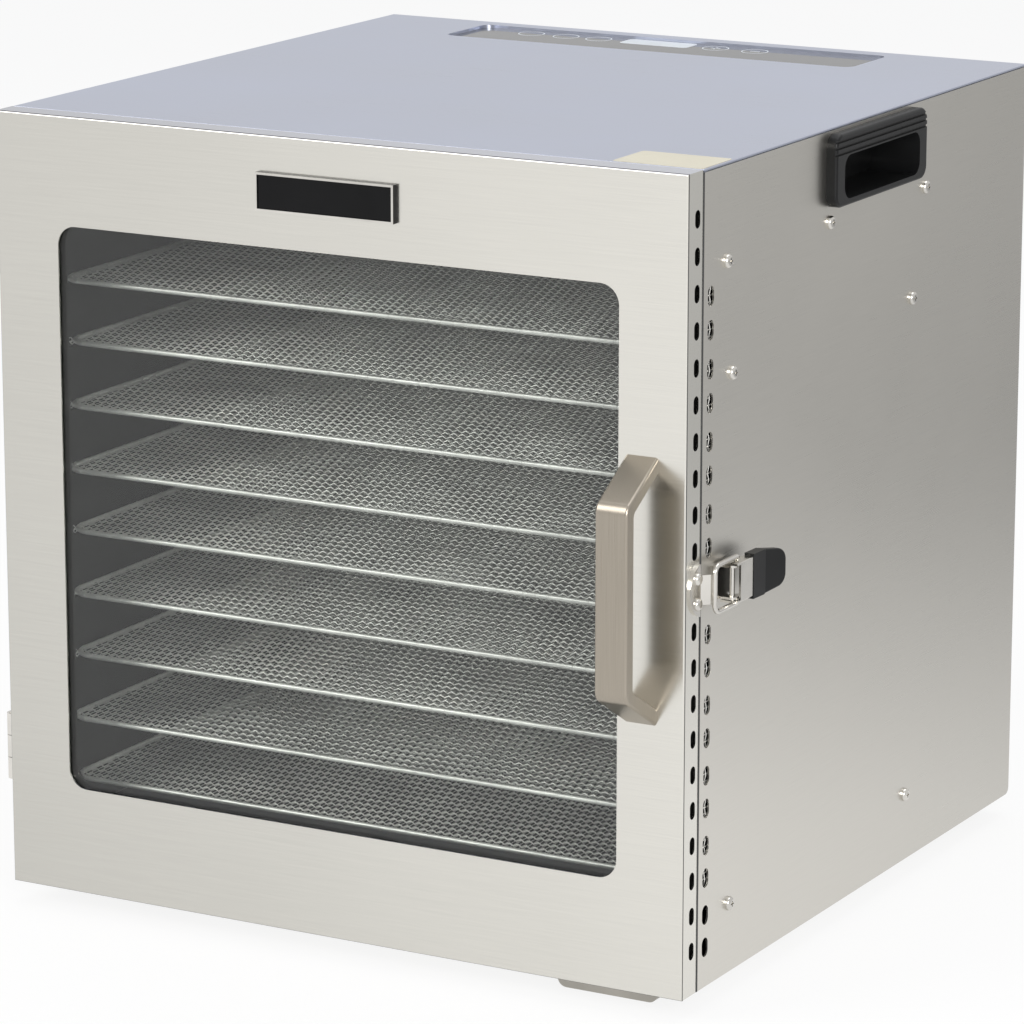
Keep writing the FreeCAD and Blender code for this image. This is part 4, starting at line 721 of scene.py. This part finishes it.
class DEHYDRATOR_OT_touch_marks(bpy.types.Operator):
    """Prints the rings, the plus, the minus and the display window on the touch panel"""

    bl_idname = "dehydrator.touch_marks"
    bl_label = "Touch marks"

    def execute(self, context):
        sizes = context.scene.dehydrator_sizes
        low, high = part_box("touch_panel")
        self.top = high.z
        line = sizes.mark_line
        behind_middle, stroke = 0.0138, 0.0060
        row = (low.y + high.y) / 2 + behind_middle
        keys = {"first": -0.0964, "second": -0.0740, "third": -0.0530, "plus": 0.0210, "minus": 0.0455}
        pieces = [self.ring(x, row, sizes.mark_ring, line) for x in keys.values()]
        thick = line * 1.6
        pieces.append(self.bar(keys["plus"], row, stroke, thick))
        pieces.append(self.bar(keys["plus"], row, thick, stroke))
        pieces.append(self.bar(keys["minus"], row, stroke, thick))
        window_x, window_behind, window_wide, window_deep = -0.0155, 0.0010, 0.043, 0.017
        pieces.append(self.bar(window_x, row + window_behind, window_wide, window_deep))
        marks = joined("touch_marks", pieces)
        finished(marks, "cabinet", bpy.data.materials["touch marks"])
        return {"FINISHED"}

    def raised(self, piece):
        """Gives flat print the thickness of ink."""
        ink = 0.00004
        bpy.ops.mesh.select_all(action="SELECT")
        bpy.ops.mesh.extrude_region_move(TRANSFORM_OT_translate={"value": (0, 0, ink)})
        bpy.ops.mesh.select_all(action="SELECT")
        bpy.ops.mesh.normals_make_consistent(inside=False)
        bpy.ops.object.mode_set(mode="OBJECT")
        return piece

    def ring(self, x, y, radius, line):
        """A printed ring."""
        bpy.ops.mesh.primitive_circle_add(
            vertices=48, radius=radius, fill_type="NGON", location=(x, y, self.top))
        piece = added("ring")
        bpy.ops.object.mode_set(mode="EDIT")
        bpy.ops.mesh.select_mode(type="FACE")
        bpy.ops.mesh.select_all(action="SELECT")
        bpy.ops.mesh.inset(thickness=line)
        bpy.ops.mesh.delete(type="FACE")
        return self.raised(piece)

    def bar(self, x, y, wide, deep):
        """A printed bar with rounded corners."""
        bpy.ops.mesh.primitive_plane_add(size=1.0, location=(x, y, self.top))
        bpy.context.active_object.scale = (wide, deep, 1.0)
        piece = added("bar")
        bpy.ops.object.mode_set(mode="EDIT")
        bpy.ops.mesh.select_all(action="SELECT")
        bpy.ops.mesh.bevel(offset=min(wide, deep) * 0.2, segments=3, affect="VERTICES")
        return self.raised(piece)


class DEHYDRATOR_OT_stage(bpy.types.Operator):
    """Sets the pale floor, the soft lamps, the world and the camera"""

    bl_idname = "dehydrator.stage"
    bl_label = "Stage"

    def execute(self, context):
        scene = context.scene
        scene.view_settings.view_transform = "Standard"
        self.world(scene)
        self.floor()
        self.lamp("key lamp", (-2.2, -2.6, 2.4), 2.2, 62.0, (1.0, 0.985, 0.96))
        self.lamp("side lamp", (2.0, -2.4, 1.3), 1.4, 58.0, (1.0, 0.99, 0.97))
        self.lamp("top lamp", (0.2, 0.6, 3.0), 2.4, 30.0, (0.95, 0.97, 1.0))
        self.camera(scene)
        return {"FINISHED"}

    def seen(self, tree):
        """1 where a camera, glossy or transmission ray looks, 0 for the light itself."""
        path = tree.nodes.new("ShaderNodeLightPath")
        total = path.outputs["Is Camera Ray"]
        for name in ("Is Glossy Ray", "Is Transmission Ray"):
            node = tree.nodes.new("ShaderNodeMath")
            node.operation = "MAXIMUM"
            tree.links.new(total, node.inputs[0])
            tree.links.new(path.outputs[name], node.inputs[1])
            total = node.outputs[0]
        return total

    def world(self, scene):
        """A white surround to look at, and a plain level of light."""
        world = bpy.data.worlds.new("studio")
        scene.world = world
        world.use_nodes = True
        tree = world.node_tree
        lit, output = tree.nodes["Background"], tree.nodes["World Output"]
        lit.inputs["Color"].default_value = (0.97, 0.98, 1.0, 1.0)
        lit.inputs["Strength"].default_value = 0.55
        white = tree.nodes.new("ShaderNodeBackground")
        white.inputs["Strength"].default_value = 1.0
        mix = tree.nodes.new("ShaderNodeMixShader")
        tree.links.new(self.seen(tree), mix.inputs[0])
        tree.links.new(lit.outputs[0], mix.inputs[1])
        tree.links.new(white.outputs[0], mix.inputs[2])
        tree.links.new(mix.outputs[0], output.inputs["Surface"])

    def reflected(self, tree):
        """1 to the camera, and to reflections a level that falls off towards the right and the back."""
        place = tree.nodes.new("ShaderNodeNewGeometry").outputs["Position"]
        along = tree.nodes.new("ShaderNodeVectorMath")
        along.operation = "DOT_PRODUCT"
        along.inputs[1].default_value = (0.6, 0.8, 0.0)
        tree.links.new(place, along.inputs[0])
        near = ranged(tree, along.outputs["Value"], 0.3, 1.15, 1.0, 0.45)
        level = sum_of(tree, near, ranged(tree, along.outputs["Value"], 1.2, 2.0, 0.0, 1.0), 0.10)
        choice = tree.nodes.new("ShaderNodeMix")
        tree.links.new(tree.nodes.new("ShaderNodeLightPath").outputs["Is Camera Ray"], choice.inputs["Factor"])
        tree.links.new(level, choice.inputs["A"])
        choice.inputs["B"].default_value = 1.0
        return choice.outputs["Result"]

    def floor(self):
        """A wide pale floor that keeps the object's shadow."""
        bpy.ops.mesh.primitive_plane_add(size=60.0, location=(0, 0, CAD_LOW.z))
        floor = added("floor")
        material = bpy.data.materials.new("studio floor")
        material.use_nodes = True
        tree = material.node_tree
        bsdf, output = tree.nodes["Principled BSDF"], tree.nodes["Material Output"]
        speckle = noise(tree, tree.nodes.new("ShaderNodeTexCoord").outputs["Object"], 3.0, 2.0)
        colour = blended(tree, speckle, (0.86, 0.86, 0.86), (0.90, 0.90, 0.90))
        tree.links.new(colour, bsdf.inputs["Base Color"])
        bsdf.inputs["Roughness"].default_value = 0.8
        glow = tree.nodes.new("ShaderNodeEmission")
        tree.links.new(self.reflected(tree), glow.inputs["Strength"])
        mix, weight = tree.nodes.new("ShaderNodeMixShader"), tree.nodes.new("ShaderNodeMath")
        weight.operation = "MULTIPLY"
        weight.inputs[1].default_value = 0.85
        tree.links.new(self.seen(tree), weight.inputs[0])
        tree.links.new(weight.outputs[0], mix.inputs[0])
        tree.links.new(bsdf.outputs[0], mix.inputs[1])
        tree.links.new(glow.outputs[0], mix.inputs[2])
        tree.links.new(mix.outputs[0], output.inputs["Surface"])
        floor.data.materials.append(material)

    def lamp(self, name, place, size, power, colour):
        """A square soft lamp that looks at the middle of the object."""
        bpy.ops.object.light_add(type="AREA", location=place)
        lamp = bpy.context.active_object
        lamp.name = name
        lamp.data.size = size
        lamp.data.energy = power
        lamp.data.color = colour
        lamp.rotation_euler = (Vector((0, 0, 0.2)) - Vector(place)).to_track_quat("-Z", "Y").to_euler()

    def camera(self, scene):
        """The camera, at the right front and a little above."""
        azimuth, elevation, distance = math.radians(29.077), math.radians(13.76), 2.6803
        away = Vector((math.sin(azimuth) * math.cos(elevation),
                       -math.cos(azimuth) * math.cos(elevation),
                       math.sin(elevation)))
        target = Vector((-0.0131, 0.023, 0.1915))
        bpy.ops.object.camera_add(location=target + away * distance)
        camera = bpy.context.active_object
        camera.name = "camera"
        camera.rotation_euler = (-away).to_track_quat("-Z", "Y").to_euler()
        camera.data.sensor_width = 36.0
        camera.data.lens = 173.3
        scene.camera = camera


class DEHYDRATOR_PT_panel(bpy.types.Panel):
    """The sidebar list of the pieces"""

    bl_idname = "DEHYDRATOR_PT_panel"
    bl_label = "Dehydrator"
    bl_space_type = "VIEW_3D"
    bl_region_type = "UI"
    bl_category = "Dehydrator"

    def draw(self, context):
        layout = self.layout
        for group in (context.scene.dehydrator_sizes, context.scene.dehydrator_colours):
            box = layout.box()
            for name in group.__annotations__:
                box.prop(group, name)
        for operator in OPERATORS:
            layout.operator(operator.bl_idname)


OPERATORS = (
    DEHYDRATOR_OT_finishes,
    DEHYDRATOR_OT_trays,
    DEHYDRATOR_OT_vent_screens,
    DEHYDRATOR_OT_badge_rim,
    DEHYDRATOR_OT_gap_shade_strip,
    DEHYDRATOR_OT_door_seam_shade,
    DEHYDRATOR_OT_touch_marks,
    DEHYDRATOR_OT_stage,
)
CLASSES = (DehydratorSizes, DehydratorColours, *OPERATORS, DEHYDRATOR_PT_panel)


def register():
    """Adds the classes and the scene's settings."""
    for cls in CLASSES:
        bpy.utils.register_class(cls)
    bpy.types.Scene.dehydrator_sizes = bpy.props.PointerProperty(type=DehydratorSizes)
    bpy.types.Scene.dehydrator_colours = bpy.props.PointerProperty(type=DehydratorColours)


def unregister():
    """Takes them away again."""
    del bpy.types.Scene.dehydrator_colours
    del bpy.types.Scene.dehydrator_sizes
    for cls in reversed(CLASSES):
        bpy.utils.unregister_class(cls)


def main():
    """Builds everything."""
    register()
    clear_selection()
    bpy.ops.dehydrator.finishes()
    bpy.ops.dehydrator.trays()
    bpy.ops.dehydrator.vent_screens()
    bpy.ops.dehydrator.badge_rim()
    bpy.ops.dehydrator.edge_seal()
    bpy.ops.dehydrator.door_hem()
    bpy.ops.dehydrator.touch_marks()
    bpy.ops.dehydrator.stage()


if __name__ == "__main__":
    main()
